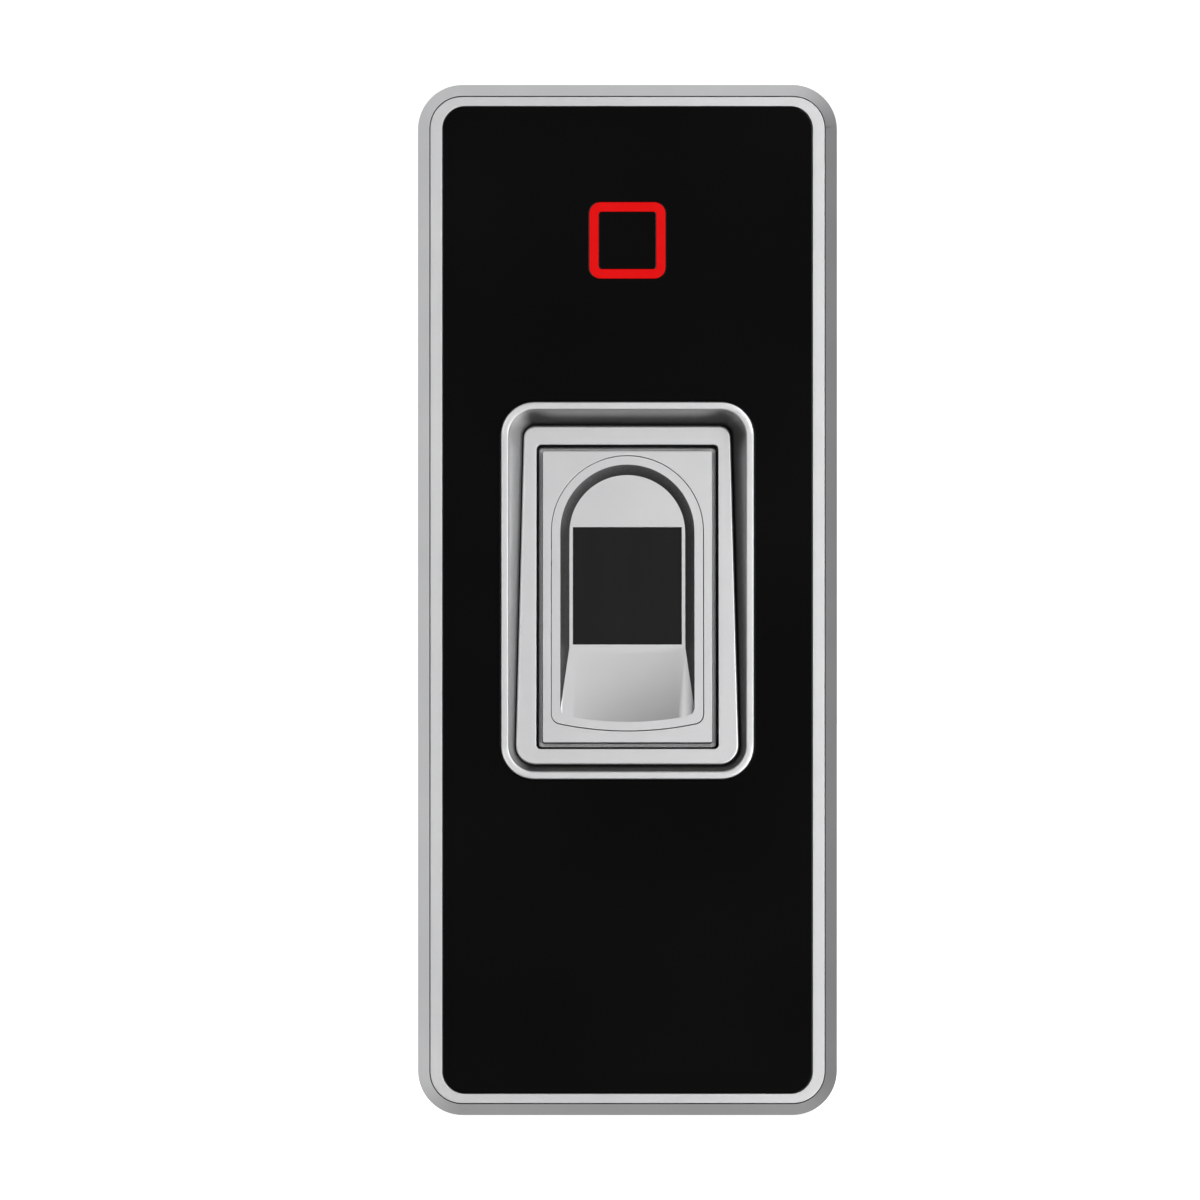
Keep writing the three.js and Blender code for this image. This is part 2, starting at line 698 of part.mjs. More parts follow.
function facePlate() {
  const front = slab(
    roundedRect(plateFaceWidth, plateFaceHeight, 0.3, 0, plateFaceV), -plateFaceThickness, 0,
  );
  const flange = slab(roundedRect(
    plateFaceWidth + 2 * plateFaceFlange, plateFaceHeight + 2 * plateFaceFlange, 0.5,
    0, plateFaceV,
  ), -plateFaceThickness, -plateFaceThickness + plateFaceFlangeThickness);
  const arch = slab(archOutline(0), -plateFaceThickness - 1, 1, 8);
  return onFace(cut(join(front, flange), arch));
}

function fingerGuide() {
  const body = slab(archOutline(guideSeam), -guideThickness, guideProud, 8);
  const recess = drafted(
    archOutline(guideLip + recessWall), -recessDepth, 0, recessWall, 2, 8,
  );
  const window = block(
    windowWidth + 2 * guideSeam, windowHeight + 2 * guideSeam, 0, windowV, -guideThickness - 1, 1,
  );
  const pocketTop = -recessDepth - recessFloor;
  const pocket = block(
    windowWidth + 3, windowHeight + 4, 0, windowV, -guideThickness - 1, pocketTop,
  );
  const hollow = solid(recess).subtract(solid(rampWedge()));
  const made = solid(body).subtract(hollow).subtract(solid(window)).subtract(solid(pocket));
  return onFace(surface(made));
}

// Fills the lower end of the recess, from its floor up to the guide's face.
function rampWedge() {
  const rampBottomV = guideBottomV + guideLip;
  const slope = (recessDepth - 0.02) / (rampTopV - rampBottomV);
  const side = new THREE.Shape();
  const over = 3;
  side.moveTo(rampTopV + over, -recessDepth - slope * over);
  side.lineTo(rampBottomV - over, -0.02 + slope * over);
  side.lineTo(rampBottomV - over, -recessDepth - over);
  side.lineTo(rampTopV + over, -recessDepth - over);
  side.closePath();
  const wide = guideRadius * 2;
  const made = new THREE.ExtrudeGeometry(side, { depth: wide, bevelEnabled: false });
  // (along v, along n, thickness) becomes (x, v, n)
  return made.translate(0, 0, -wide / 2).applyMatrix4(
    new THREE.Matrix4().set(0, 0, 1, 0, 1, 0, 0, 0, 0, 1, 0, 0, 0, 0, 0, 1),
  );
}

function sensorWindow() {
  const front = -recessDepth - windowInset;
  return onFace(block(windowWidth, windowHeight, 0, windowV, front - windowThickness, front));
}

function sensorChip() {
  const front = -recessDepth - windowInset - windowThickness - fit;
  return onFace(block(windowWidth - 0.6, windowHeight - 0.6, 0, windowV,
    front - chipThickness, front));
}

const sensorBoardFront = -guideThickness - 0.1;

function sensorBoard() {
  const back = sensorBoardFront - sensorBoardThickness;
  return onFace(block(sensorBoardWidth, sensorBoardHeight, 0, 0, back, sensorBoardFront));
}

const bracketFront = bezelBack - running;
const bracketThickness = 1;
const bracketHeight = 12;

function sensorBracket() {
  const shape = roundedRect(bezelWidth - 0.4, bracketHeight, 2, 0, moduleY);
  const sheet = slab(shape, bracketFront - bracketThickness, bracketFront);
  const holes = [bracketScrewX, -bracketScrewX].map((x) =>
    rod(bracketScrewSize[0] + 2 * fit, x, moduleY, 0, bracketFront + 1, 12));
  return cut(sheet, ...holes);
}

function sensorPad() {
  const tiltFall = (bracketHeight / 2) * Math.tan(THREE.MathUtils.degToRad(faceTilt));
  const top = faceZ + sensorBoardFront - sensorBoardThickness - tiltFall - fit;
  return block(14, bracketHeight - 2, 0, moduleY, bracketFront + seat, top);
}

// The flat flexible cable from the sensor board's back to its connector on the main board.
function sensorFlex() {
  const startV = 8 - sensorBoardHeight / 2;
  const start = new THREE.Vector3(0, startV, sensorBoardFront - sensorBoardThickness - 0.3)
    .applyMatrix4(tilt);
  const endY = flexConnectorY + flexConnectorHeight / 2 + fit;
  const endZ = boardFront + 0.9;
  const curve = new THREE.SplineCurve([
    new THREE.Vector2(start.y, start.z),
    new THREE.Vector2(start.y - 5, start.z - 0.4),
    new THREE.Vector2((start.y + endY) / 2, (start.z + endZ) / 2 - 0.3),
    new THREE.Vector2(endY + 4, endZ + 0.3),
    new THREE.Vector2(endY, endZ),
  ]);
  const thickness = 0.3;
  const line = curve.getPoints(12);
  const shape = new THREE.Shape();
  shape.setFromPoints([
    ...line,
    ...line.map((p) => new THREE.Vector2(p.x, p.y - thickness)).reverse(),
  ]);
  const flexWidth = 8;
  const made = new THREE.ExtrudeGeometry(shape, { depth: flexWidth, bevelEnabled: false });
  return made.translate(0, 0, -flexWidth / 2).applyMatrix4(
    new THREE.Matrix4().set(0, 0, 1, 0, 1, 0, 0, 0, 0, 1, 0, 0, 0, 0, 0, 1),
  );
}

// ---------------------------------------------------------------- indicator

function lightGuide() {
  const outer = indicatorSize;
  const inner = indicatorSize - 2 * lightGuideWall;
  const ring = roundedRect(outer, outer, indicatorCorner, 0, indicatorY);
  ring.holes.push(roundedRect(inner, inner, 0.4, 0, indicatorY));
  const flangeSize = outer + 2 * lightGuideFlange;
  const flange = roundedRect(flangeSize, flangeSize, 1, 0, indicatorY);
  flange.holes.push(roundedRect(inner, inner, 0.4, 0, indicatorY));
  const flangeFront = carrierBack - fit;
  return join(
    slab(ring, boardFront + ledHeight + 0.4, panelBack - fit),
    slab(flange, flangeFront - lightGuideFlangeThickness, flangeFront),
  );
}

const ledHeight = 0.8;

function indicatorLeds() {
  const out = (indicatorSize - lightGuideWall) / 2;
  return [[0, out], [-out, 0], [0, -out], [out, 0]].map(([x, y], i) => {
    const turn = x === 0;
    const z = boardFront + seat;
    const body = block(turn ? 2 : 1.25, turn ? 1.25 : 2, x, indicatorY + y, z, z + ledHeight);
    return piece('indicator_led_' + (i + 1), body, ledWhite);
  });
}

// ---------------------------------------------------------------- circuit board and what it carries

function mainBoard() {
  const sheet = slab(roundedRect(boardWidth, boardHeight, 1.5), boardBack, boardFront);
  const holes = corners(boardScrewX, boardScrewY).map(([x, y]) =>
    rod(boardScrewSize[0] + 2 * fit, x, y, boardBack - 1, boardFront + 1, 14));
  return cut(sheet, ...holes);
}

// A part soldered flat on the board's front.
function onBoard(w, h, thick, cx, cy) {
  return block(w, h, cx, cy, boardFront + seat, boardFront + seat + thick);
}

const flexConnectorY = flangeBottom + 0.2;
const flexConnectorHeight = 4;

function buzzer() {
  const z = boardFront + seat;
  const x = -13;
  const y = flangeTop + 8.6;
  return cut(rod(12, x, y, z, z + 4.5, 28), rod(2, x, y, z + 3, z + 6, 14));
}

function supplyCapacitor() {
  const z = boardFront + seat;
  const x = 15;
  const y = flangeTop + 11.6;
  return join(onBoard(8.3, 8.3, 1, x, y), rod(8, x, y, z + 0.5, z + 5.4, 24));
}

function supplyInductor() {
  const z = boardFront + seat;
  const x = -12;
  const y = antennaY;
  return join(onBoard(7, 7, 3, x, y), rod(5, x, y, z + 2.5, z + 3.3, 20));
}

function relay() {
  const z = boardFront + seat;
  const body = slab(roundedRect(20, 10, 0.6, 6, antennaY), z, z + 5);
  const vent = rod(1.2, 14, antennaY - 3, z + 4.5, z + 6, 10);
  return cut(body, vent);
}

function crystal() {
  const z = boardFront + seat;
  return slab(roundedRect(10.6, 4.4, 2.15, 13.5, flangeTop + 2.6), z, z + 3.2);
}

// The antenna's coil fills the space between the bezel's flange and the board's lower edge.
const antennaTop = flangeBottom - 3.3;
const antennaY = (antennaTop - boardHeight / 2) / 2;

function cardAntenna() {
  const w = boardWidth - 12;
  const h = antennaTop + boardHeight / 2;
  const band = 3;
  const shape = roundedRect(w, h, 5, 0, antennaY);
  shape.holes.push(roundedRect(w - 2 * band, h - 2 * band, 3, 0, antennaY));
  return slab(shape, carrierBack - fit - 0.8, carrierBack - fit, 4);
}

function cableHeader() {
  const y = -36;
  const back = coverFront + 1;
  const body = block(18, 5.4, 0, y, back, boardBack - seat);
  const socket = block(16.4, 3.8, 0, y, back - 1, boardBack - 1);
  return cut(body, socket);
}

// ---------------------------------------------------------------- tamper switch

const plungerTipZ = plateThickness + running;
const plungerOpenZ = boardBack - 1.4;
const switchBackZ = plungerOpenZ - plungerFlangeThickness - 0.9;

function tamperPlunger() {
  const outer = plungerDiameter / 2;
  const flange = outer + plungerFlange;
  const bore = plungerBore / 2;
  return turned([
    [0, plungerTipZ],
    [outer - 0.6, plungerTipZ],
    [outer, plungerTipZ + 0.6],
    [outer, plungerOpenZ - plungerFlangeThickness],
    [flange, plungerOpenZ - plungerFlangeThickness],
    [flange, plungerOpenZ],
    [bore, plungerOpenZ],
    [bore, plungerTipZ + plungerTipWall],
    [0, plungerTipZ + plungerTipWall],
  ], 0, tamperY);
}

function tamperSwitch() {
  const size = plungerDiameter + 2 * plungerFlange + 3;
  const bore = plungerDiameter + 2 * plungerFlange + 2 * running;
  return cut(
    block(size, size, 0, tamperY, switchBackZ, boardBack - seat),
    rod(bore, 0, tamperY, 0, boardBack + 1, 24),
  );
}

class Helix extends THREE.Curve {
  constructor(radius, z0, z1, turns) {
    super();
    Object.assign(this, { radius, z0, z1, turns });
  }

  getPoint(t, target = new THREE.Vector3()) {
    const angle = t * this.turns * Math.PI * 2;
    return target.set(
      this.radius * Math.cos(angle),
      this.radius * Math.sin(angle),
      this.z0 + t * (this.z1 - this.z0),
    );
  }
}

function tamperSpring() {
  const wire = new THREE.Shape();
  wire.absarc(0, 0, springWire / 2, 0, Math.PI * 2);
  const radius = plungerBore / 2 - springWire / 2 - fit;
  const low = plungerTipZ + plungerTipWall + springWire / 2 + fit;
  const high = boardBack - springWire / 2 - fit;
  const coil = new THREE.ExtrudeGeometry(wire, {
    steps: springTurns * 12,
    curveSegments: 3,
    extrudePath: new Helix(radius, low, high, springTurns),
  });
  return coil.translate(0, tamperY, 0);
}

// ---------------------------------------------------------------- fasteners

function screwSet(name, size, places, z) {
  return places.map(([x, y], i) =>
    piece(name + '_' + (i + 1), screw(size, x, y, z), darkSteel));
}

// ---------------------------------------------------------------- the whole terminal

const terminal = new THREE.Group();
terminal.add(
  piece('wall_plate', wallPlate(), zincSteel),
  piece('housing', housing(), satinSilver),
  piece('front_trim', frontTrim(), brightSilver),
  piece('front_panel', frontPanel(), glossBlack),
  piece('indicator_ring', indicatorRing(), indicatorRed),
  piece('panel_tape', panelTape(), blackRubber),
  piece('front_carrier', frontCarrier(), blackPlastic),
  piece('sensor_bezel', sensorBezel(), brightSilver),
  piece('insert_frame', insertFrame(), brightSilver),
  piece('face_plate', facePlate(), brightSilver),
  piece('finger_guide', fingerGuide(), brightSilver),
  piece('sensor_window', sensorWindow(), sensorDark),
  piece('sensor_chip', sensorChip(), chipBlack),
  piece('sensor_board', sensorBoard(), boardGreen),
  piece('sensor_pad', sensorPad(), blackRubber),
  piece('sensor_bracket', sensorBracket(), zincSteel),
  piece('sensor_flex', sensorFlex(), flexAmber),
  piece('indicator_light_guide', lightGuide(), clearGuide),
  ...indicatorLeds(),
  piece('card_antenna', cardAntenna(), copper),
  piece('main_board', mainBoard(), boardGreen),
  piece('flex_connector', onBoard(12, flexConnectorHeight, 1.6, 0, flexConnectorY), creamPlastic),
  piece('processor_chip', onBoard(12, 12, 1.2, 0, moduleY + 15), chipBlack),
  piece('card_reader_chip', onBoard(6, 6, 0.9, 12, flexConnectorY), chipBlack),
  piece('crystal', crystal(), canAluminium),
  piece('buzzer', buzzer(), blackPlastic),
  piece('supply_capacitor', supplyCapacitor(), canAluminium),
  piece('supply_inductor', supplyInductor(), chipBlack),
  piece('relay', relay(), blueRelay),
  piece('cable_header', cableHeader(), creamPlastic),
  piece('tamper_switch', tamperSwitch(), blackPlastic),
  piece('tamper_plunger', tamperPlunger(), creamPlastic),
  piece('tamper_spring', tamperSpring(), zincSteel),
  piece('back_cover', backCover(), blackPlastic),
  piece('cover_seal', coverSeal(), blackRubber),
  piece('cable_grommet', cableGrommet(), blackRubber),
  piece('lock_screw', lockScrew(), darkSteel),
  ...screwSet(
    'cover_screw', coverScrewSize, corners(coverScrewX, coverScrewY),
    shadowGap + coverScrewSize[2] + seat,
  ),
  ...screwSet(
    'board_screw', boardScrewSize, corners(boardScrewX, boardScrewY), boardBack - seat,
  ),
  ...screwSet(
    'bezel_screw', bezelScrewSize, corners(bezelScrewX, bezelScrewY, moduleY),
    carrierBack - fit - bezelFlangeThickness - seat,
  ),
  ...screwSet(
    'bracket_screw', bracketScrewSize, [[bracketScrewX, moduleY], [-bracketScrewX, moduleY]],
    bracketFront - bracketThickness - seat,
  ),
  ...screwSet(
    'carrier_screw', carrierScrewSize, corners(carrierScrewX, carrierScrewY),
    carrierBack - seat,
  ),
);
terminal.rotation.x = Math.PI / 2;

const part = new THREE.Group();
part.add(terminal);

export default part;
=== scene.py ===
import math

import bmesh
import bpy
from mathutils import Matrix, Vector


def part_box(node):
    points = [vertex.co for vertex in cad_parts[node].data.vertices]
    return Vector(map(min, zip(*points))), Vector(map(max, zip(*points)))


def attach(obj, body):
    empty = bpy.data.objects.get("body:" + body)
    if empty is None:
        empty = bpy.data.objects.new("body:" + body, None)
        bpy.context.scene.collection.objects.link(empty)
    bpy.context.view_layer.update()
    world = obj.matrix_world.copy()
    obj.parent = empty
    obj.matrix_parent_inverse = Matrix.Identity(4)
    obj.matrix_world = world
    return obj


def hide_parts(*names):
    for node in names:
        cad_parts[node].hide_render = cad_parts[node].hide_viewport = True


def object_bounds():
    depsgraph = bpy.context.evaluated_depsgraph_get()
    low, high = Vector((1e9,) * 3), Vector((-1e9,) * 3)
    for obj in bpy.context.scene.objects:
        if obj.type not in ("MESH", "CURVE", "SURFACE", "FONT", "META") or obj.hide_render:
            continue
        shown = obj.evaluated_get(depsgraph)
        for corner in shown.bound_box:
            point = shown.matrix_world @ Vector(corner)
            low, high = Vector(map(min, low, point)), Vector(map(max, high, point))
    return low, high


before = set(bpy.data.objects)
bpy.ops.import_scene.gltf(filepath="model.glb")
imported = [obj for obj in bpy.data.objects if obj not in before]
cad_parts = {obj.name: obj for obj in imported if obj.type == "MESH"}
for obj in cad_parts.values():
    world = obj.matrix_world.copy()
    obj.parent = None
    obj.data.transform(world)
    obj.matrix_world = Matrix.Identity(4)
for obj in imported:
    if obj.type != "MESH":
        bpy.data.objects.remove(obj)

cad_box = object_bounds()
mm = 0.001


# ------------------------------------------------------------------ wall plate
# A steel plate 1.2 mm thick, blanked and folded in one tool, then zinc plated. Two screws in the
# countersunk slots hold it to the wall. Two folded hooks at the top carry the terminal, and the
# lug at the bottom takes the lock screw.

def hold(piece):
    """Only this piece is selected and active."""
    bpy.ops.object.select_all(action='DESELECT')
    piece.select_set(True)
    bpy.context.view_layer.objects.active = piece


def settle(piece):
    """The piece's place, turn and size go into its mesh."""
    hold(piece)
    bpy.ops.object.transform_apply(location=True, rotation=True, scale=True)
    return piece


def open_mesh(piece):
    hold(piece)
    bpy.ops.object.mode_set(mode='EDIT')


def close_mesh():
    bpy.ops.object.mode_set(mode='OBJECT')


def pick(kind, test):
    """In edit mode, selects the vertices, edges or faces that pass the test."""
    bpy.ops.mesh.select_mode(type=kind)
    bpy.ops.mesh.select_all(action='DESELECT')
    mesh = bmesh.from_edit_mesh(bpy.context.object.data)
    for item in {'VERT': mesh.verts, 'EDGE': mesh.edges, 'FACE': mesh.faces}[kind]:
        if test(item):
            item.select_set(True)
    mesh.select_flush_mode()
    bmesh.update_edit_mesh(bpy.context.object.data)


def push(x=0.0, y=0.0, z=0.0):
    """Extrudes what is selected by so many millimetres."""
    bpy.ops.mesh.extrude_region_move(
        TRANSFORM_OT_translate={'value': (x * mm, y * mm, z * mm)})


def rounded_block(width, height, corner, back, front, x=0.0, z=0.0, steps=8):
    """A block between two levels out from the wall, its four long edges rounded."""
    bpy.ops.object.select_all(action='DESELECT')
    bpy.ops.mesh.primitive_plane_add(
        size=1, location=(x * mm, -back * mm, z * mm), rotation=(math.pi / 2, 0, 0))
    block = bpy.context.object
    block.scale = (width * mm, height * mm, 1)
    settle(block)
    open_mesh(block)
    bpy.ops.mesh.select_all(action='SELECT')
    if corner:
        bpy.ops.mesh.bevel(offset=corner * mm, segments=steps, affect='VERTICES')
        bpy.ops.mesh.select_all(action='SELECT')
        bpy.ops.mesh.remove_doubles(threshold=1e-7)
    push(y=back - front)
    bpy.ops.mesh.select_all(action='SELECT')
    bpy.ops.mesh.normals_make_consistent(inside=False)
    close_mesh()
    return block


def round_bar(diameter, start, end, x=0.0, z=0.0, sides=48, upright=False):
    """A round bar out from the wall between two levels, or upright at a level z out from it."""
    middle = (start + end) / 2
    if upright:
        place, turn = (x * mm, -z * mm, middle * mm), (0, 0, 0)
    else:
        place, turn = (x * mm, -middle * mm, z * mm), (math.pi / 2, 0, 0)
    bpy.ops.object.select_all(action='DESELECT')
    bpy.ops.mesh.primitive_cylinder_add(
        vertices=sides, radius=diameter / 2 * mm, depth=(end - start) * mm,
        location=place, rotation=turn)
    return settle(bpy.context.object)


def combine(how, piece, *tools):
    """Cuts the tools out of the piece, or joins them to it."""
    for tool in tools:
        hold(piece)
        step = piece.modifiers.new('step', 'BOOLEAN')
        step.operation = how
        step.solver = 'EXACT'
        step.object = tool
        bpy.ops.object.modifier_apply(modifier='step')
        bpy.data.objects.remove(tool)
    return piece


def complete(piece, name, edge=0.12, steps=2, angle=32):
    """Breaks the sharp edges, shades the piece smooth between them and names it."""
    hold(piece)
    if edge:
        soft = piece.modifiers.new('soft', 'BEVEL')
        soft.width = edge * mm
        soft.segments = steps
        soft.limit_method = 'ANGLE'
        soft.angle_limit = math.radians(angle)
        soft.miter_outer = 'MITER_ARC'
        bpy.ops.object.modifier_apply(modifier='soft')
    bpy.ops.object.shade_smooth_by_angle(angle=math.radians(angle + 6))
    even = piece.modifiers.new('even', 'WEIGHTED_NORMAL')
    even.keep_sharp = True
    even.weight = 90
    bpy.ops.object.modifier_apply(modifier='even')
    piece.name = name
    piece.data.name = name
    return piece


def new_finish(name, colour, metallic, roughness):
    """A finish, with the tools that its nodes are added by."""
    material = bpy.data.materials.new(name)
    material.use_nodes = True
    tree = material.node_tree
    shader = tree.nodes['Principled BSDF']
    shader.inputs['Base Color'].default_value = (*colour, 1)
    shader.inputs['Metallic'].default_value = metallic
    shader.inputs['Roughness'].default_value = roughness
    material.diffuse_color = (*colour, 1)

    def add(kind, **values):
        node = tree.nodes.new('ShaderNode' + kind)
        for key, value in values.items():
            if key in node.inputs:
                node.inputs[key].default_value = value
            else:
                setattr(node, key, value)
        return node

    def link(source, target):
        tree.links.new(source, target)

    return material, shader, add, link


def grain(add, link, size, stretch=(1, 1, 1), detail=3.0, roughness=0.6):
    """Even random grain, its lumps so many millimetres long; returns its factor output."""
    place = add('TexCoord')
    fit = add('Mapping')
    fit.inputs['Scale'].default_value = stretch
    lumps = add('TexNoise')
    lumps.inputs['Scale'].default_value = 1 / (size * mm)
    lumps.inputs['Detail'].default_value = detail
    lumps.inputs['Roughness'].default_value = roughness
    link(place.outputs['Object'], fit.inputs['Vector'])
    link(fit.outputs['Vector'], lumps.inputs['Vector'])
    return lumps.outputs['Fac']


def vary(add, link, factor, low, high, target, start=0.3, end=0.7):
    """Lets the target number run from low to high with the factor."""
    span = add('MapRange')
    span.inputs['From Min'].default_value = start
    span.inputs['From Max'].default_value = end
    span.inputs['To Min'].default_value = low
    span.inputs['To Max'].default_value = high
    link(factor, span.inputs['Value'])
    link(span.outputs['Result'], target)


def tint(add, link, factor, first, second, shader, start=0.3, end=0.7):
    """Lets the base colour run between two colours with the factor."""
    ramp = add('ValToRGB')
    ramp.color_ramp.elements[0].position = start
    ramp.color_ramp.elements[0].color = (*first, 1)
    ramp.color_ramp.elements[1].position = end
    ramp.color_ramp.elements[1].color = (*second, 1)
    link(factor, ramp.inputs['Fac'])
    link(ramp.outputs['Color'], shader.inputs['Base Color'])
    return ramp


def relief(add, link, factor, depth, strength, shader):
    """Raises the surface by the factor, by at most depth millimetres."""
    bump = add('Bump')
    bump.inputs['Distance'].default_value = depth * mm
    bump.inputs['Strength'].default_value = strength
    link(factor, bump.inputs['Height'])
    link(bump.outputs['Normal'], shader.inputs['Normal'])


def steel_finish(name, dark, light, roughness, run):
    """Rolled and plated steel: fine rolling lines along one axis under a cloudy plating."""
    material, shader, add, link = new_finish(name, light, 1.0, roughness)
    lines = grain(add, link, 2.2, run, 4.0)
    clouds = grain(add, link, 7.0)
    tint(add, link, clouds, dark, light, shader)
    vary(add, link, lines, roughness - 0.07, roughness + 0.1, shader.inputs['Roughness'])
    relief(add, link, lines, 0.02, 0.25, shader)
    return material


plate_low, plate_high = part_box('wall_plate')
sheet_thickness = 1.2
plate_top = 64.5
plate_bottom = plate_low.z / mm
plate_width = (plate_high.x - plate_low.x) / mm
hook_places = (-14.0, 14.0)
hook_half = 4.0
tip_back = 3.7
lug_half = 5.0
lug_reach = -plate_low.y / mm
lug_corner = 1.8
bend = 1.0

wall_plate = rounded_block(
    plate_width, plate_top - plate_bottom, 3, 0, sheet_thickness,
    z=(plate_top + plate_bottom) / 2)
open_mesh(wall_plate)
fold_lines = [x + side * hook_half for x in hook_places for side in (-1, 1)]
for across in fold_lines + [-lug_half, lug_half]:
    bpy.ops.mesh.select_all(action='SELECT')
    bpy.ops.mesh.bisect(plane_co=(across * mm, 0, 0), plane_no=(1, 0, 0))
for level in (plate_top - sheet_thickness, plate_bottom + sheet_thickness):
    bpy.ops.mesh.select_all(action='SELECT')
    bpy.ops.mesh.bisect(plane_co=(0, 0, level * mm), plane_no=(0, 0, 1))


def by_hook(point):
    return any(abs(point.x - x * mm) < (hook_half + 0.01) * mm for x in hook_places)


pick('FACE', lambda f: f.normal.y < -0.9 and by_hook(f.calc_center_median())
     and f.calc_center_median().z > (plate_top - sheet_thickness) * mm)
push(y=sheet_thickness - tip_back)
push(y=-sheet_thickness)
pick('FACE', lambda f: f.normal.z > 0.9 and f.calc_center_median().y < -tip_back * mm)
push(z=plate_high.z / mm - plate_top)
pick('FACE', lambda f: f.normal.y < -0.9 and abs(f.calc_center_median().x) < lug_half * mm
     and f.calc_center_median().z < (plate_bottom + sheet_thickness) * mm)
push(y=sheet_thickness - lug_reach)


def runs_across(edge, y, z):
    """The edge runs from side to side at this level out from the wall and this height."""
    return all(abs(v.co.y + y * mm) < 1e-5 and abs(v.co.z - z * mm) < 1e-5
               for v in edge.verts)


pick('EDGE', lambda e: runs_across(e, tip_back + sheet_thickness, plate_top - sheet_thickness)
     or (runs_across(e, 0, plate_top) and by_hook((e.verts[0].co + e.verts[1].co) / 2))
     or (runs_across(e, 0, plate_bottom)
         and abs(e.verts[0].co.x + e.verts[1].co.x) < 2 * lug_half * mm))
bpy.ops.mesh.bevel(offset=bend * mm, segments=5, affect='EDGES')
pick('EDGE', lambda e: all(abs(abs(v.co.x) - lug_half * mm) < 1e-5
                           and abs(v.co.y + lug_reach * mm) < 1e-5 for v in e.verts)
     and e.verts[0].co.x * e.verts[1].co.x > 0)
bpy.ops.mesh.bevel(offset=lug_corner * mm, segments=5, affect='EDGES')
close_mesh()

wall_screw_slot, slot_run = 4.6, 9
slot_height = 41.75
sink_depth = 1.9
sink_spread = 2.76
cable_window = 26, 30
cable_z = -19
lock_level = 9
lug_hole = 3.8
for slot_width, slot_length, slot_z in ((wall_screw_slot, slot_run, slot_height),
                                        (slot_run, wall_screw_slot, -slot_height)):
    sink = rounded_block(
        slot_width + 2 * sink_spread, slot_length + 2 * sink_spread,
        wall_screw_slot / 2 + sink_spread, 0.1 + sink_depth, 1 + sink_depth, z=slot_z)
    open_mesh(sink)
    pick('FACE', lambda f: f.normal.y > 0.9)
    bpy.ops.mesh.inset(thickness=sink_spread * mm, depth=sink_depth * mm)
    close_mesh()
    combine('DIFFERENCE', wall_plate, sink,
            rounded_block(slot_width, slot_length, wall_screw_slot / 2, -1, 2, z=slot_z))
combine('DIFFERENCE', wall_plate,
        rounded_block(*cable_window, 2, -1, 2.2, z=cable_z),
        round_bar(lug_hole, plate_bottom - 2, plate_bottom + 3, z=lock_level, upright=True))
complete(wall_plate, 'folded_wall_plate', edge=0.16)
wall_plate.data.materials.append(steel_finish(
    'zinc_plating', (0.36, 0.37, 0.37), (0.56, 0.57, 0.56), 0.34, (8, 1, 0.6)))
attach(wall_plate, 'wall_plate')
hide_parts('wall_plate')


# --------------------------------------------------------------------- housing
# A hollow zinc die casting, shot blasted and sprayed in a satin silver paint. Its front edge is a
# flat slope, inside which the trim ring lies on a ledge, and a rebate at the back takes the cover.

# How much of the paint's colour the painted shade keeps, and how far its ambient occlusion looks,
# in millimetres.
painted_shade_share = 0.05
painted_shade_reach = 6.0


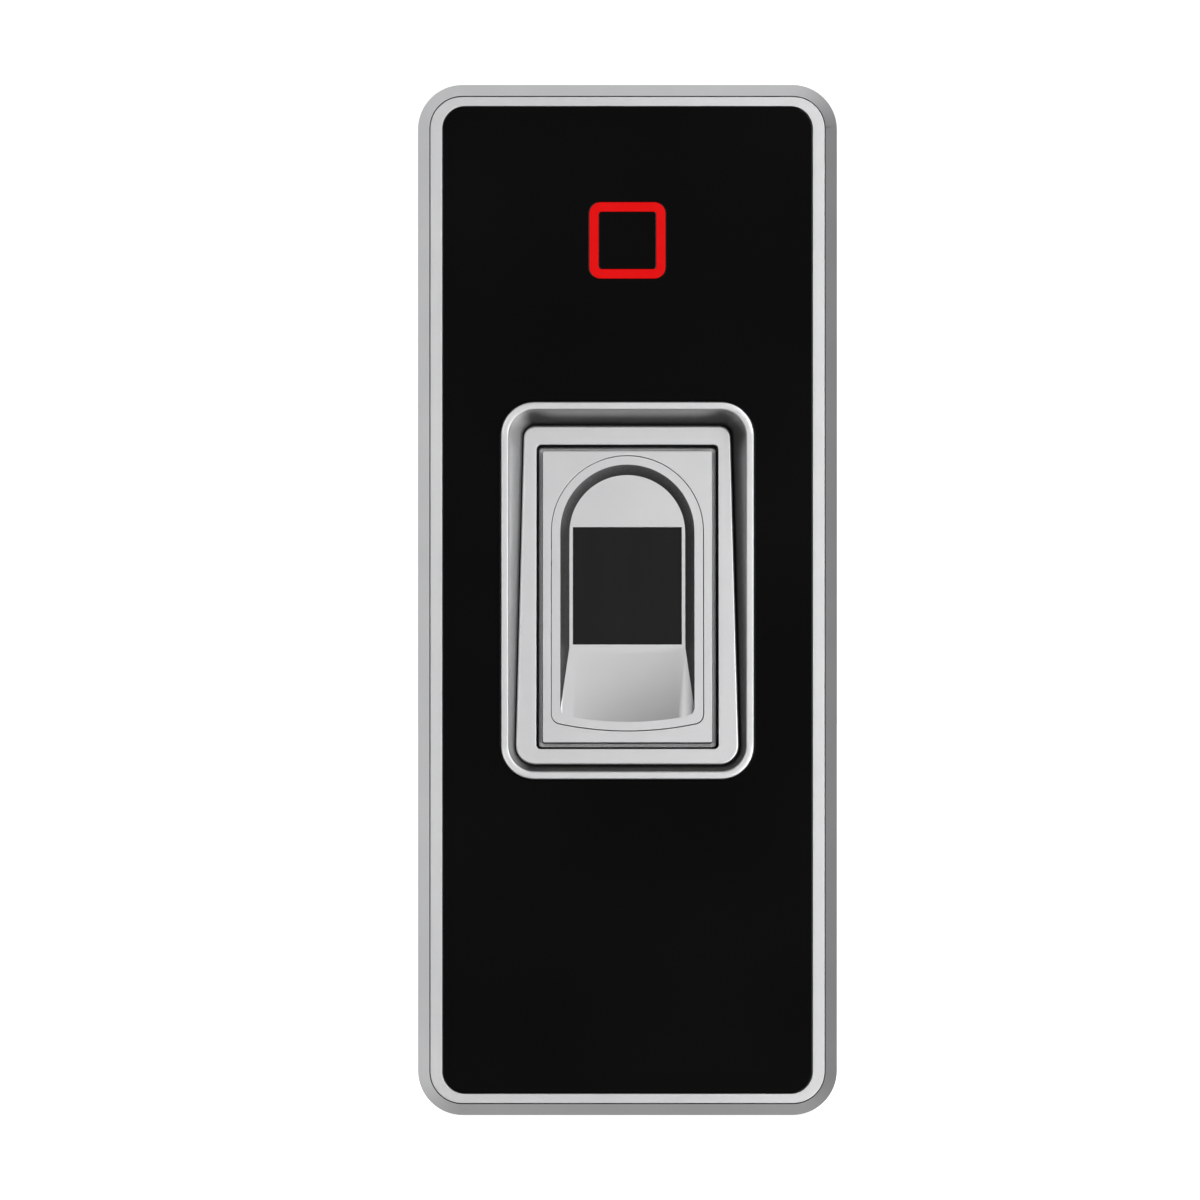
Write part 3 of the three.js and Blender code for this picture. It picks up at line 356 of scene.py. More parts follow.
def silver_paint(name, dark, light, roughness, steep_below=0.62, painted_lit_side=1.5):
    """Satin silver paint: fine metal flake, very slightly uneven, with painted shade.

    As painted shade, deep gaps, and faces whose normal has less than steep_below of its length out
    from the wall where they are shut in, are darker, duller and hardly metallic. Faces turned
    right by more than painted_lit_side get less of it, as painted light from the right, which none
    does unless it is set below 1.
    """
    material, shader, add, link = new_finish(name, light, 0.92, roughness)
    flake = grain(add, link, 0.16, (1, 1, 1), 2.0)
    flow = grain(add, link, 14.0, (1, 1, 1), 2.0)
    ramp = tint(add, link, flow, dark, light, shader)
    relief(add, link, flake, 0.004, 0.2, shader)

    # Painted shade: deep gaps and steep walls between other surfaces are darkened, as far as the
    # ambient occlusion below finds them shut in.
    cover = add('AmbientOcclusion')
    cover.samples = 8
    cover.inputs['Distance'].default_value = painted_shade_reach * mm
    faces = add('TexCoord')
    lean_of = add('SeparateXYZ')
    link(faces.outputs['Normal'], lean_of.inputs[0])
    level = add('Math', operation='ABSOLUTE')
    link(lean_of.outputs['Y'], level.inputs[0])
    # Faces turned right keep more of the paint's colour, as painted light from the right.
    steep, away_from_light, shaded, deep = [add('MapRange') for _ in range(4)]
    for span, source, low, high in (
            (steep, level.outputs[0], steep_below, steep_below + 0.07),
            (away_from_light, lean_of.outputs['X'], painted_lit_side, painted_lit_side + 1.3),
            (shaded, cover.outputs['AO'], 0.86, 0.98),
            (deep, cover.outputs['AO'], 0.12, 0.3)):
        span.inputs['From Min'].default_value = low
        span.inputs['From Max'].default_value = high
        span.inputs['To Min'].default_value = 1
        span.inputs['To Max'].default_value = 0
        link(source, span.inputs['Value'])
    both = add('Math', operation='MULTIPLY')
    link(steep.outputs[0], both.inputs[0])
    link(away_from_light.outputs[0], both.inputs[1])
    shaded_walls = add('Math', operation='MULTIPLY')
    link(both.outputs[0], shaded_walls.inputs[0])
    link(shaded.outputs[0], shaded_walls.inputs[1])
    painted_shade = add('Math', operation='MAXIMUM')
    link(shaded_walls.outputs[0], painted_shade.inputs[0])
    link(deep.outputs[0], painted_shade.inputs[1])

    # Where the painted shade lies the surface is darker, duller and hardly metallic.
    painted_shade_mix = add('Mix', data_type='RGBA')
    link(painted_shade.outputs[0], painted_shade_mix.inputs['Factor'])
    link(ramp.outputs['Color'], painted_shade_mix.inputs[6])
    painted_shade_mix.inputs[7].default_value = (*[painted_shade_share * c for c in light], 1)
    link(painted_shade_mix.outputs[2], shader.inputs['Base Color'])
    vary(add, link, painted_shade.outputs[0], 0.95, 0.1, shader.inputs['Metallic'], 0, 1)
    gloss, matt = add('MapRange'), add('Math', operation='MULTIPLY_ADD')
    gloss.inputs['From Min'].default_value = 0.3
    gloss.inputs['From Max'].default_value = 0.7
    gloss.inputs['To Min'].default_value = roughness - 0.03
    gloss.inputs['To Max'].default_value = roughness + 0.04
    link(flake, gloss.inputs['Value'])
    link(painted_shade.outputs[0], matt.inputs[0])
    matt.inputs[1].default_value = 0.15
    link(gloss.outputs[0], matt.inputs[2])
    link(matt.outputs[0], shader.inputs['Roughness'])
    return material


house_low, house_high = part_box('housing')
width = (house_high.x - house_low.x) / mm
height = (house_high.z - house_low.z) / mm
rim_level = -house_low.y / mm
back_level = -house_high.y / mm
outer_corner = 6.4
slope = 1.7
cover_rim = 2.2
side_wall = 3.3
step_level = 4.05
ledge_back = 17.5
ledge_front = 20.0

housing = rounded_block(width, height, outer_corner, back_level, rim_level - slope, steps=16)
open_mesh(housing)
pick('FACE', lambda f: f.normal.y < -0.9)
bpy.ops.mesh.inset(thickness=slope * mm, depth=slope * mm)
close_mesh()
seat_width, seat_height, seat_corner = width - 2 * slope, height - 2 * slope, outer_corner - slope
mouth_width, mouth_height = 45.9, 134.4
combine(
    'DIFFERENCE', housing,
    rounded_block(width - 2 * cover_rim, height - 2 * cover_rim, outer_corner - cover_rim,
                  0, step_level, steps=12),
    rounded_block(width - 2 * side_wall, height - 2 * side_wall, outer_corner - side_wall,
                  step_level - 1, ledge_back, steps=10),
    rounded_block(mouth_width, mouth_height, 1, ledge_back - 1, ledge_front + 1),
    rounded_block(seat_width, seat_height, seat_corner, ledge_front, rim_level + 1, steps=16),
)
cover_places = [(x, z) for x in (23.8, -23.8) for z in (67.7, -67.7)]
cover_boss, cover_pilot = 6.8, 2.8
carrier_places = [(x, z) for x in (24.875, -24.875) for z in (59, -59)]
carrier_pilot = 2.1
lock_boss, lock_seat, lock_passage = 9.4, 6.2, 3.6
boss_top = -67.85
combine('UNION', housing,
        *[round_bar(cover_boss, step_level, ledge_back + 0.5, x, z) for x, z in cover_places],
        round_bar(lock_boss, -height / 2 + cover_rim, boss_top, z=lock_level, upright=True))
combine('DIFFERENCE', housing,
        *[round_bar(cover_pilot, step_level - 1, 13.5, x, z, 24) for x, z in cover_places],
        *[round_bar(carrier_pilot, ledge_back - 1, ledge_front - 0.5, x, z, 24)
          for x, z in carrier_places],
        round_bar(lock_seat, -height / 2 - 1, boss_top - 1, z=lock_level, upright=True),
        round_bar(lock_passage, boss_top - 3, boss_top + 3, z=lock_level, upright=True))
complete(housing, 'cast_housing', edge=0.1)
satin_silver = silver_paint('satin_silver_paint', (0.56, 0.563, 0.57), (0.6, 0.603, 0.608), 0.38)
housing.data.materials.append(satin_silver)
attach(housing, 'terminal')
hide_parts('housing')


# --------------------------------------------------- circuit board and its parts
# A glass-epoxy board under green solder mask, screwed to the carrier from behind. It carries the
# two chips, a quartz crystal, buzzer, relay, capacitor, inductor and the connectors, all soldered.
# The sensor has a small board of its own, on a flat cable.

def board_finish(name, mask, trace):
    """Solder mask: tracks show through it as straight, paler, slightly raised lines."""
    material, shader, add, link = new_finish(name, mask, 0.0, 0.42)
    place = add('TexCoord')
    pattern = add('TexBrick')
    pattern.inputs['Scale'].default_value = 1 / (9 * mm)
    pattern.inputs['Mortar Size'].default_value = 0.022
    pattern.inputs['Color1'].default_value = (*mask, 1)
    pattern.inputs['Color2'].default_value = (*[c * 1.25 for c in mask], 1)
    pattern.inputs['Mortar'].default_value = (*trace, 1)
    turn = add('Mapping')
    turn.inputs['Rotation'].default_value = (math.pi / 2, 0, 0)
    link(place.outputs['Object'], turn.inputs['Vector'])
    link(turn.outputs['Vector'], pattern.inputs['Vector'])
    link(pattern.outputs['Color'], shader.inputs['Base Color'])
    relief(add, link, pattern.outputs['Fac'], 0.03, 0.5, shader)
    weave = grain(add, link, 0.6)
    vary(add, link, weave, 0.36, 0.5, shader.inputs['Roughness'])
    return material


def moulded(name, dark, light, roughness, size=0.5, depth=0.02):
    """Moulded plastic or rubber with a fine eroded texture."""
    material, shader, add, link = new_finish(name, light, 0.0, roughness)
    spark = grain(add, link, size)
    tint(add, link, spark, dark, light, shader)
    vary(add, link, spark, roughness - 0.06, roughness + 0.08, shader.inputs['Roughness'])
    relief(add, link, spark, depth, 0.35, shader)
    return material


def wound_copper(name):
    """Enamelled wire wound side by side: fine raised lines round the coil."""
    material, shader, add, link = new_finish(name, (0.6, 0.22, 0.08), 1.0, 0.3)
    place = add('TexCoord')
    wires = add('TexWave', wave_type='BANDS', bands_direction='DIAGONAL')
    wires.inputs['Scale'].default_value = 1 / (1.6 * mm)
    link(place.outputs['Object'], wires.inputs['Vector'])
    tint(add, link, wires.outputs['Fac'], (0.3, 0.09, 0.03), (0.68, 0.27, 0.1), shader, 0.1, 0.6)
    relief(add, link, wires.outputs['Fac'], 0.08, 0.7, shader)
    clouds = grain(add, link, 1.5)
    vary(add, link, clouds, 0.24, 0.38, shader.inputs['Roughness'])
    return material


def keep(finish, *nodes):
    """These CAD nodes stay as they are, in this finish."""
    for node in nodes:
        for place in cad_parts[node].material_slots:
            place.material = finish


black_plastic = moulded('black_moulding', (0.010, 0.010, 0.011), (0.017, 0.017, 0.018), 0.5)
cream_plastic = moulded('cream_nylon', (0.68, 0.62, 0.48), (0.8, 0.74, 0.6), 0.42, 0.9)
chip_black = moulded('chip_moulding', (0.007, 0.007, 0.008), (0.014, 0.014, 0.015), 0.55, 0.25)
black_rubber = moulded('black_rubber', (0.008, 0.008, 0.008), (0.016, 0.016, 0.016), 0.8, 0.35)
drawn_can = steel_finish(
    'drawn_aluminium', (0.55, 0.56, 0.57), (0.72, 0.73, 0.74), 0.26, (1, 1, 8))
black_zinc = steel_finish(
    'black_zinc', (0.045, 0.045, 0.05), (0.11, 0.11, 0.12), 0.38, (3, 3, 3))
keep(board_finish('solder_mask', (0.008, 0.075, 0.028), (0.03, 0.19, 0.075)),
     'main_board', 'sensor_board')
keep(chip_black, 'processor_chip', 'card_reader_chip', 'supply_inductor', 'sensor_chip')
keep(drawn_can, 'crystal', 'supply_capacitor')
keep(black_plastic, 'buzzer', 'tamper_switch', 'front_carrier')
keep(moulded('relay_case', (0.008, 0.024, 0.13), (0.014, 0.04, 0.2), 0.4), 'relay')
keep(cream_plastic, 'cable_header', 'flex_connector')
keep(wound_copper('enamelled_copper'), 'card_antenna')
keep(steel_finish('spring_wire', (0.4, 0.4, 0.4), (0.6, 0.6, 0.6), 0.3, (1, 1, 1)),
     'tamper_spring', 'sensor_bracket')
keep(black_zinc, *[f'board_screw_{n}' for n in (1, 2, 3, 4)],
     *[f'carrier_screw_{n}' for n in (1, 2, 3, 4)],
     *[f'bezel_screw_{n}' for n in (1, 2, 3, 4)], 'bracket_screw_1', 'bracket_screw_2')
keep(black_rubber, 'sensor_pad', 'panel_tape', 'cover_seal')
keep(moulded('polyimide_film', (0.3, 0.085, 0.006), (0.44, 0.14, 0.014), 0.3, 0.8),
     'sensor_flex')


# ------------------------------------------------------------ indicator's light
# Four white chip LEDs on the board shine into a frosted acrylic guide, which carries their light
# to the square outline in the front panel.

def frosted(name):
    material, shader, add, link = new_finish(name, (0.8, 0.8, 0.8), 0.0, 0.35)
    shader.inputs['Transmission Weight'].default_value = 0.6
    haze = grain(add, link, 0.4)
    tint(add, link, haze, (0.7, 0.7, 0.7), (0.85, 0.85, 0.84), shader)
    vary(add, link, haze, 0.28, 0.45, shader.inputs['Roughness'])
    return material


keep(frosted('frosted_acrylic'), 'indicator_light_guide')
keep(moulded('led_package', (0.78, 0.72, 0.52), (0.9, 0.86, 0.7), 0.38, 0.3),
     *[f'indicator_led_{n}' for n in (1, 2, 3, 4)])


# ---------------------------------------------------------------- sensor bezel
# A deep cup die cast in zinc and painted in the finer silver. Its flat ring stands 0.8 mm proud of
# the panel, and its walls draw in to the floor at 18 degrees. Four screws hold its flange.

cup_low, cup_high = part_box('sensor_bezel')
ring_level = -cup_low.y / mm
cup_back = -cup_high.y / mm
module_z = 1.35
cup_width, cup_height, cup_corner = 36.3, 54.1, 4.8
ring_width = 1.12
ring_edge = 0.18
floor_level = 13.0
draft = math.tan(math.radians(18))
flange_width = 4.0
flange_back, flange_front = 13.35, 15.35
ear_places = [(x, module_z + z) for x in (20.25, -20.25) for z in (22.05, -22.05)]
ear_hole, bracket_hole = 2.2, 1.9

bezel = rounded_block(cup_width, cup_height, cup_corner, cup_back, ring_level, z=module_z,
                      steps=14)
open_mesh(bezel)
pick('FACE', lambda f: f.normal.y < -0.9)
bpy.ops.mesh.inset(thickness=ring_width * mm, depth=0)
wall_drop = ring_level - floor_level
bpy.ops.mesh.inset(thickness=wall_drop * draft * mm, depth=-wall_drop * mm)
close_mesh()
flange = rounded_block(
    cup_width + 2 * flange_width, cup_height + 2 * flange_width, cup_corner + 1,
    flange_back, flange_front, z=module_z)
combine('DIFFERENCE', flange,
        rounded_block(cup_width - 3, cup_height - 3, 3.3, 12, 17, z=module_z))
combine('UNION', bezel, flange)
combine('DIFFERENCE', bezel,
        rounded_block(25, 43, 0, cup_back - 1, floor_level + 1, z=module_z),
        *[round_bar(ear_hole, 12, 17, x, z, 24) for x, z in ear_places],
        *[round_bar(bracket_hole, cup_back - 1, cup_back + 3, x, module_z, 24)
          for x in (16.35, -16.35)])
open_mesh(bezel)
pick('EDGE', lambda e: all(abs(v.co.y + ring_level * mm) < 1e-6 for v in e.verts)
     and len(e.link_faces) == 2 and e.calc_face_angle(0) > 1.0)
bpy.ops.mesh.bevel(offset=ring_edge * mm, segments=4, affect='EDGES')
close_mesh()
complete(bezel, 'cast_sensor_bezel', edge=0.08)
# This copy of the finer silver is a little lighter than on the other parts, as painted light on
# the flat ring, and its walls that face right get less painted shade, as painted light from the
# right.
bezel.data.materials.append(silver_paint(
    'bezel_silver_paint', (0.79, 0.792, 0.8), (0.83, 0.832, 0.836), 0.34, painted_lit_side=0.2))
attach(bezel, 'terminal')
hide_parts('sensor_bezel')


# ---------------------------------------------------------------- insert frame
# A wedge, also die cast and painted, that is pushed into the cup. Its front leans back at the top,
# so the finger lies at an angle, and a pocket in it takes the face plate with a groove all round.

face_tilt = math.radians(4.36)
face_level = ring_level - 3.7
face_middle = Vector((0, -face_level * mm, module_z * mm))
face_out = Vector((0, -math.cos(face_tilt), math.sin(face_tilt)))


def lean(piece):
    """Lays a piece that was made upright about the origin on the tilted face."""
    piece.location = face_middle
    piece.rotation_euler = (-face_tilt, 0, 0)
    return settle(piece)


insert_back = floor_level + 0.15
insert_gap = 0.12
insert_edge = 0.5
grow = (ring_level - insert_back) * draft
drawn_in = 2 * (ring_width + wall_drop * draft + insert_gap - grow)
insert_width = cup_width - drawn_in
insert_height = cup_height - drawn_in
insert_corner = cup_corner - ring_width - wall_drop * draft + grow
insert = rounded_block(insert_width, insert_height, insert_corner, ring_level, ring_level + 1,
                       z=module_z, steps=14)
open_mesh(insert)
pick('FACE', lambda f: f.normal.y > 0.9)
bpy.ops.mesh.inset(thickness=grow * mm, depth=(ring_level - insert_back) * mm)
bpy.ops.mesh.select_all(action='SELECT')
bpy.ops.mesh.bisect(plane_co=face_middle, plane_no=face_out, use_fill=True, clear_outer=True)
pick('EDGE', lambda e: all(abs((v.co - face_middle).dot(face_out)) < 1e-6 for v in e.verts))
bpy.ops.mesh.bevel(offset=insert_edge * mm, segments=5, affect='EDGES')
close_mesh()
pocket_width, pocket_height, plate_v = 26.2, 43.9, -0.85
pocket_depth = 3.35
ledge = 1.5
combine('DIFFERENCE', insert,
        lean(rounded_block(pocket_width, pocket_height, 0.6, -pocket_depth, 5, z=plate_v)),
        lean(rounded_block(pocket_width - 2 * ledge, pocket_height - 2 * ledge, 0, -20, 5,
                           z=plate_v)))
complete(insert, 'wedge_insert_frame', edge=0.12)
insert.data.materials.append(silver_paint(
    'insert_silver_paint', (0.77, 0.772, 0.78), (0.81, 0.812, 0.816), 0.34, steep_below=0.1))
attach(insert, 'terminal')
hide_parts('insert_frame')


# ------------------------------------------------------- face plate, finger guide
# The face plate lies in the insert's pocket, and the finger guide fills the arch in it, with only
# a hairline between them. Both are die cast and painted. The guide's recess centres the finger
# over the sensor and ends below in a shallow scooped ramp.

bright_silver = silver_paint(
    'bright_silver_paint', (0.77, 0.772, 0.78), (0.81, 0.812, 0.816), 0.34)

guide_radius = 10.97
arch_v = 8.55
bottom_v = -20.24
bottom_radius = 47.6
guide_corner = 1.1
arch_steps = 48
bottom_steps = 20


def arch_loop(inset, level):
    """Draws the guide's outline, set in by inset, as an open loop of edges at a level."""
    radius = guide_radius - inset
    low_radius = bottom_radius - inset
    low_centre = bottom_v + bottom_radius
    foot = low_centre - math.sqrt(low_radius ** 2 - radius ** 2)
    swing = 2 * math.asin(radius / low_radius)
    bpy.ops.object.select_all(action='DESELECT')
    bpy.ops.mesh.primitive_circle_add(
        vertices=2 * arch_steps, radius=radius * mm, fill_type='NOTHING',
        location=(0, -level * mm, arch_v * mm), rotation=(math.pi / 2, 0, 0))
    loop = settle(bpy.context.object)
    open_mesh(loop)
    pick('VERT', lambda v: v.co.z < (arch_v - 0.001) * mm)
    bpy.ops.mesh.delete(type='VERT')
    pick('VERT', lambda v: v.co.z < (arch_v + 0.001) * mm)
    bpy.ops.mesh.extrude_region_move(
        TRANSFORM_OT_translate={'value': (0, 0, (foot - arch_v) * mm)})
    pick('VERT', lambda v: v.co.z < (foot + 0.001) * mm and v.co.x < 0)
    bpy.ops.mesh.spin(
        steps=bottom_steps, angle=swing, center=(0, -level * mm, low_centre * mm),
        axis=(0, 1, 0))
    bpy.ops.mesh.select_all(action='SELECT')
    bpy.ops.mesh.remove_doubles(threshold=0.002 * mm)
    pick('VERT', lambda v: abs(v.co.z - foot * mm) < 0.002 * mm
         and abs(abs(v.co.x) - radius * mm) < 0.002 * mm)
    bpy.ops.mesh.bevel(offset=guide_corner * mm, segments=6, affect='VERTICES')
    close_mesh()
    return loop


def arch_block(*rings):
    """A closed solid through the outlines, each given as its inset and its level."""
    loops = [arch_loop(inset, level) for inset, level in rings]
    bpy.ops.object.select_all(action='DESELECT')
    for loop in loops:
        loop.select_set(True)
    bpy.context.view_layer.objects.active = loops[0]
    bpy.ops.object.join()
    made = bpy.context.object
    open_mesh(made)
    levels = [level for _, level in rings]
    for low, high in zip(levels, levels[1:]):
        pick('EDGE', lambda e: all(min(abs(v.co.y + low * mm), abs(v.co.y + high * mm)) < 1e-6
                                   for v in e.verts) and abs(e.verts[0].co.y
                                                             - e.verts[1].co.y) < 1e-6)
        bpy.ops.mesh.bridge_edge_loops()
    for level in (levels[0], levels[-1]):
        pick('EDGE', lambda e: all(abs(v.co.y + level * mm) < 1e-6 for v in e.verts))
        bpy.ops.mesh.edge_face_add()
    bpy.ops.mesh.select_all(action='SELECT')
    bpy.ops.mesh.normals_make_consistent(inside=False)
    close_mesh()
    return made


face_width, face_height, foot_step = 24.4, 42.1, 1.2
plate_depth, foot_depth = 3.2, 2
plate_face = rounded_block(
    face_width, face_height, 0.3, -plate_depth, 0, z=plate_v, steps=4)
combine('UNION', plate_face, rounded_block(
    face_width + foot_step, face_height + foot_step, 0.5, -plate_depth, -foot_depth,
    z=plate_v, steps=4))
combine('DIFFERENCE', plate_face, arch_block((0, -5), (0, 2)))
lean(complete(plate_face, 'arched_face_plate', edge=0.16, steps=3))
plate_face.data.materials.append(bright_silver)
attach(plate_face, 'terminal')
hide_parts('face_plate')

seam = 0.08
proud = 0.12
recess_depth = 2.2
lip = 1.32
wall_run = 1.3
ramp_top, ramp_bottom = -9.4, bottom_v + lip
ramp_angle = math.atan2(recess_depth, ramp_top - ramp_bottom)
scoop_radius = 118

hollow = arch_block((lip, 2), (lip, 0), (lip + wall_run, -recess_depth))
ramp = rounded_block(26, 30, 0, -20, 3)
scoop = round_bar(2 * scoop_radius, -40, 40, z=scoop_radius, sides=720, upright=True)
combine('DIFFERENCE', ramp, scoop)
ramp.rotation_euler = (-ramp_angle, 0, 0)
settle(ramp)
ramp.location = (0, recess_depth * mm, ramp_top * mm)
settle(ramp)
combine('DIFFERENCE', hollow, ramp)
window_width, window_height, window_v = 15.56, 16.83, 0.87
guide = arch_block((seam, -5), (seam, proud))
combine('DIFFERENCE', guide, hollow,
        rounded_block(window_width + 2 * seam, window_height + 2 * seam, 0, -6, 1, z=window_v),
        rounded_block(window_width + 3, window_height + 4, 0, -6, -recess_depth - 1.3,
                      z=window_v))
lean(complete(guide, 'scooped_finger_guide', edge=0.07, angle=20))
guide.data.materials.append(bright_silver)
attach(guide, 'terminal')
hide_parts('finger_guide')


# --------------------------------------------------------------- sensor window
# The optical sensor's glass, 1 mm thick and cut to shape, with a dark satin coating that resists
# scratches. It is glued behind the finger guide, over the opening at the bottom of its recess.

window = lean(complete(
    rounded_block(window_width, window_height, 0.15, -recess_depth - 1.1, -recess_depth - 0.1,
                  z=window_v, steps=3),
    'coated_sensor_window', edge=0.06))
coating, shader, add, link = new_finish('satin_coating', (0.018, 0.018, 0.018), 0.0, 0.5)
prism = grain(add, link, 3.0, (1, 1, 0.05))
tint(add, link, prism, (0.0128, 0.0128, 0.0128), (0.0155, 0.0155, 0.0155), shader)
satin = grain(add, link, 0.2)
vary(add, link, satin, 0.46, 0.56, shader.inputs['Roughness'])
shader.inputs['Specular IOR Level'].default_value = 0.15
window.data.materials.append(coating)
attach(window, 'terminal')
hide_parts('sensor_window')


# ------------------------------------------------------------------ front trim
# A flat ring die cast in zinc and painted in the finer silver. It is glued on the housing's ledge,
# and the front panel lies inside it.

trim_low, trim_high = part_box('front_trim')
trim_width = (trim_high.x - trim_low.x) / mm
trim_height = (trim_high.z - trim_low.z) / mm
trim_opening = 53.1, 141.6
closer = 0.22
trim = rounded_block(trim_width + closer, trim_height + closer, 4.6,
                     -trim_high.y / mm, -trim_low.y / mm, steps=16)
combine('DIFFERENCE', trim, rounded_block(*trim_opening, 3.2, 18, 24, steps=14))
complete(trim, 'flat_front_trim', edge=0.1, steps=3)
trim.data.materials.append(bright_silver)
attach(trim, 'terminal')
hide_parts('front_trim')


# ----------------------------------------------------------------- front panel
# Clear acrylic 1.5 mm thick, cut to shape, polished and printed solid black behind, so that it
# looks like black glass. It is stuck to the ledge with a ring of foam tape.

panel_low, panel_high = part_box('front_panel')
panel_level = -panel_low.y / mm
panel_hole_gap = 0.15
indicator_z = 51.6
indicator_size, indicator_line = 10.9, 1.3
inlay_gap = 0.05
panel = rounded_block(
    (panel_high.x - panel_low.x) / mm, (panel_high.z - panel_low.z) / mm, 3.12,
    -panel_high.y / mm, panel_level, steps=14)
inlay_size = indicator_size + 2 * inlay_gap
island_size = indicator_size - 2 * (indicator_line + inlay_gap)
inlay = rounded_block(
    inlay_size, inlay_size, 1.66, panel_level - 0.6, panel_level + 1, z=indicator_z)
combine('DIFFERENCE', inlay, rounded_block(
    island_size, island_size, 0.4, panel_level - 1, panel_level + 2, z=indicator_z, steps=5))
combine('DIFFERENCE', panel, inlay,
        rounded_block(cup_width + 2 * panel_hole_gap, cup_height + 2 * panel_hole_gap,
                      cup_corner + panel_hole_gap, 18, 24, z=module_z, steps=14))
complete(panel, 'glossy_front_panel', edge=0.07)
acrylic, shader, add, link = new_finish('black_acrylic', (0.009, 0.009, 0.009), 0.0, 0.06)
polish = grain(add, link, 30.0, (1, 1, 1), 1.0)
tint(add, link, polish, (0.007, 0.007, 0.007), (0.0085, 0.0085, 0.0085), shader)
vary(add, link, polish, 0.04, 0.09, shader.inputs['Roughness'])
shader.inputs['Specular IOR Level'].default_value = 0.4
panel.data.materials.append(acrylic)
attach(panel, 'terminal')
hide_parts('front_panel')


# -------------------------------------------------------------- indicator ring
# A square outline of translucent red acrylic, cut to shape and pressed flush into the front panel.
# The light guide behind it lights it.

ring_opening = indicator_size - 2 * indicator_line
ring = rounded_block(
    indicator_size, indicator_size, 1.61, panel_level - 0.55, panel_level, z=indicator_z)
combine('DIFFERENCE', ring, rounded_block(
    ring_opening, ring_opening, 0.45, panel_level - 2, panel_level + 1, z=indicator_z,
    steps=5))
complete(ring, 'lit_indicator_ring', edge=0.05)
lit_red, shader, add, link = new_finish('lit_red', (0.22, 0.002, 0.002), 0.0, 0.35)
glow = grain(add, link, 1.5)
tint(add, link, glow, (0.2, 0.002, 0.002), (0.24, 0.002, 0.002), shader)
shader.inputs['Specular IOR Level'].default_value = 0.1
vary(add, link, glow, 0.3, 0.4, shader.inputs['Roughness'])
shader.inputs['Emission Color'].default_value = (0.83, 0.001, 0.0015, 1)
shader.inputs['Emission Strength'].default_value = 0.75
ring.data.materials.append(lit_red)
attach(ring, 'terminal')
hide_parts('indicator_ring')


# ------------------------------------------------------------------ back cover
# A black moulded plate that closes the rebate on a rubber seal. It has slots for the plate's hooks
# and lug, holes for the cable and the tamper plunger, and four countersunk screw seats.

cover_low, cover_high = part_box('back_cover')
cover_front = -cover_low.y / mm
cover = rounded_block(
    (cover_high.x - cover_low.x) / mm, (cover_high.z - cover_low.z) / mm, 4.0,
    back_level, cover_front, steps=12)
tamper_z = 51.8
hook_slot, hook_slot_z = (9.2, 4.3), 62.65
lug_slot, lug_slot_z = (11.2, 3.5), -65.9
tamper_hole, cable_hole = 5.6, 10.9
head_seat = 4.7
combine('DIFFERENCE', cover,
        *[rounded_block(*hook_slot, 0.5, 0, 4, x, hook_slot_z, steps=4) for x in hook_places],
        rounded_block(*lug_slot, 0.5, 0, 4, 0, lug_slot_z, steps=4),
        round_bar(tamper_hole, 0, 4, z=tamper_z), round_bar(cable_hole, 0, 4, z=cable_z),
        *[round_bar(cover_pilot, 0, 4, x, z, 24) for x, z in cover_places],
        *[round_bar(head_seat, 0, back_level + 1.1, x, z, 32) for x, z in cover_places])
complete(cover, 'moulded_back_cover', edge=0.14)
cover.data.materials.append(black_plastic)
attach(cover, 'terminal')
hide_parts('back_cover')


# --------------------------------------------------------------- cable grommet
# A moulded rubber ring with a groove round it, snapped into the back cover's hole. It keeps the
# cable off the hard edge.

def turned(rings, sides, x, z, closed=False, upright=False):
    """A turned solid through rings given as radius and level; the ends are capped, or joined."""
    def at(level):
        return Vector((x * mm, -z * mm, level * mm) if upright else (x * mm, -level * mm, z * mm))

    bpy.ops.object.select_all(action='DESELECT')
    first_radius, first_level = rings[0]
    bpy.ops.mesh.primitive_circle_add(
        vertices=sides, radius=first_radius * mm, fill_type='NOTHING',
        location=at(first_level), rotation=(0, 0, 0) if upright else (math.pi / 2, 0, 0))
    made = settle(bpy.context.object)
    open_mesh(made)
    bpy.ops.mesh.select_all(action='SELECT')
    if not closed:
        bpy.ops.mesh.extrude_edges_move()
        bpy.ops.mesh.edge_face_add()
        bpy.ops.mesh.select_all(action='SELECT')
        bpy.ops.mesh.remove_doubles(threshold=1e-7)
        pick('EDGE', lambda e: True)
    radius, level = first_radius, first_level
    for next_radius, next_level in rings[1:]:
        bpy.ops.mesh.extrude_edges_move(
            TRANSFORM_OT_translate={'value': at(next_level) - at(level)})
        if abs(next_radius - radius) > 1e-9:
            share = next_radius / radius
            size = (share, share, 1) if upright else (share, 1, share)
            bpy.ops.transform.resize(value=size, center_override=at(next_level))
        radius, level = next_radius, next_level
    if not closed:
        bpy.ops.mesh.edge_face_add()
    bpy.ops.mesh.select_all(action='SELECT')
    bpy.ops.mesh.remove_doubles(threshold=1e-7)
    bpy.ops.mesh.normals_make_consistent(inside=False)
    close_mesh()
    return made


bore, neck, lip_radius = 3.5, 5.3, 6.6
grommet = turned([(bore, 0.5), (lip_radius, 0.5), (lip_radius, 1.4), (neck, 1.4), (neck, 3.2),
                  (lip_radius, 3.2), (lip_radius, 4.1), (bore, 4.1), (bore, 0.5)],
                 48, 0, cable_z, closed=True)
complete(grommet, 'rubber_cable_grommet', edge=0.2, steps=3)
grommet.data.materials.append(black_rubber)
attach(grommet, 'terminal')
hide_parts('cable_grommet')


# ---------------------------------------------------------------- cover screws
# Four black zinc self-tapping screws with cross recesses, driven from behind into the corner
# bosses of the housing. Their heads lie in the cover's seats, just under its face.

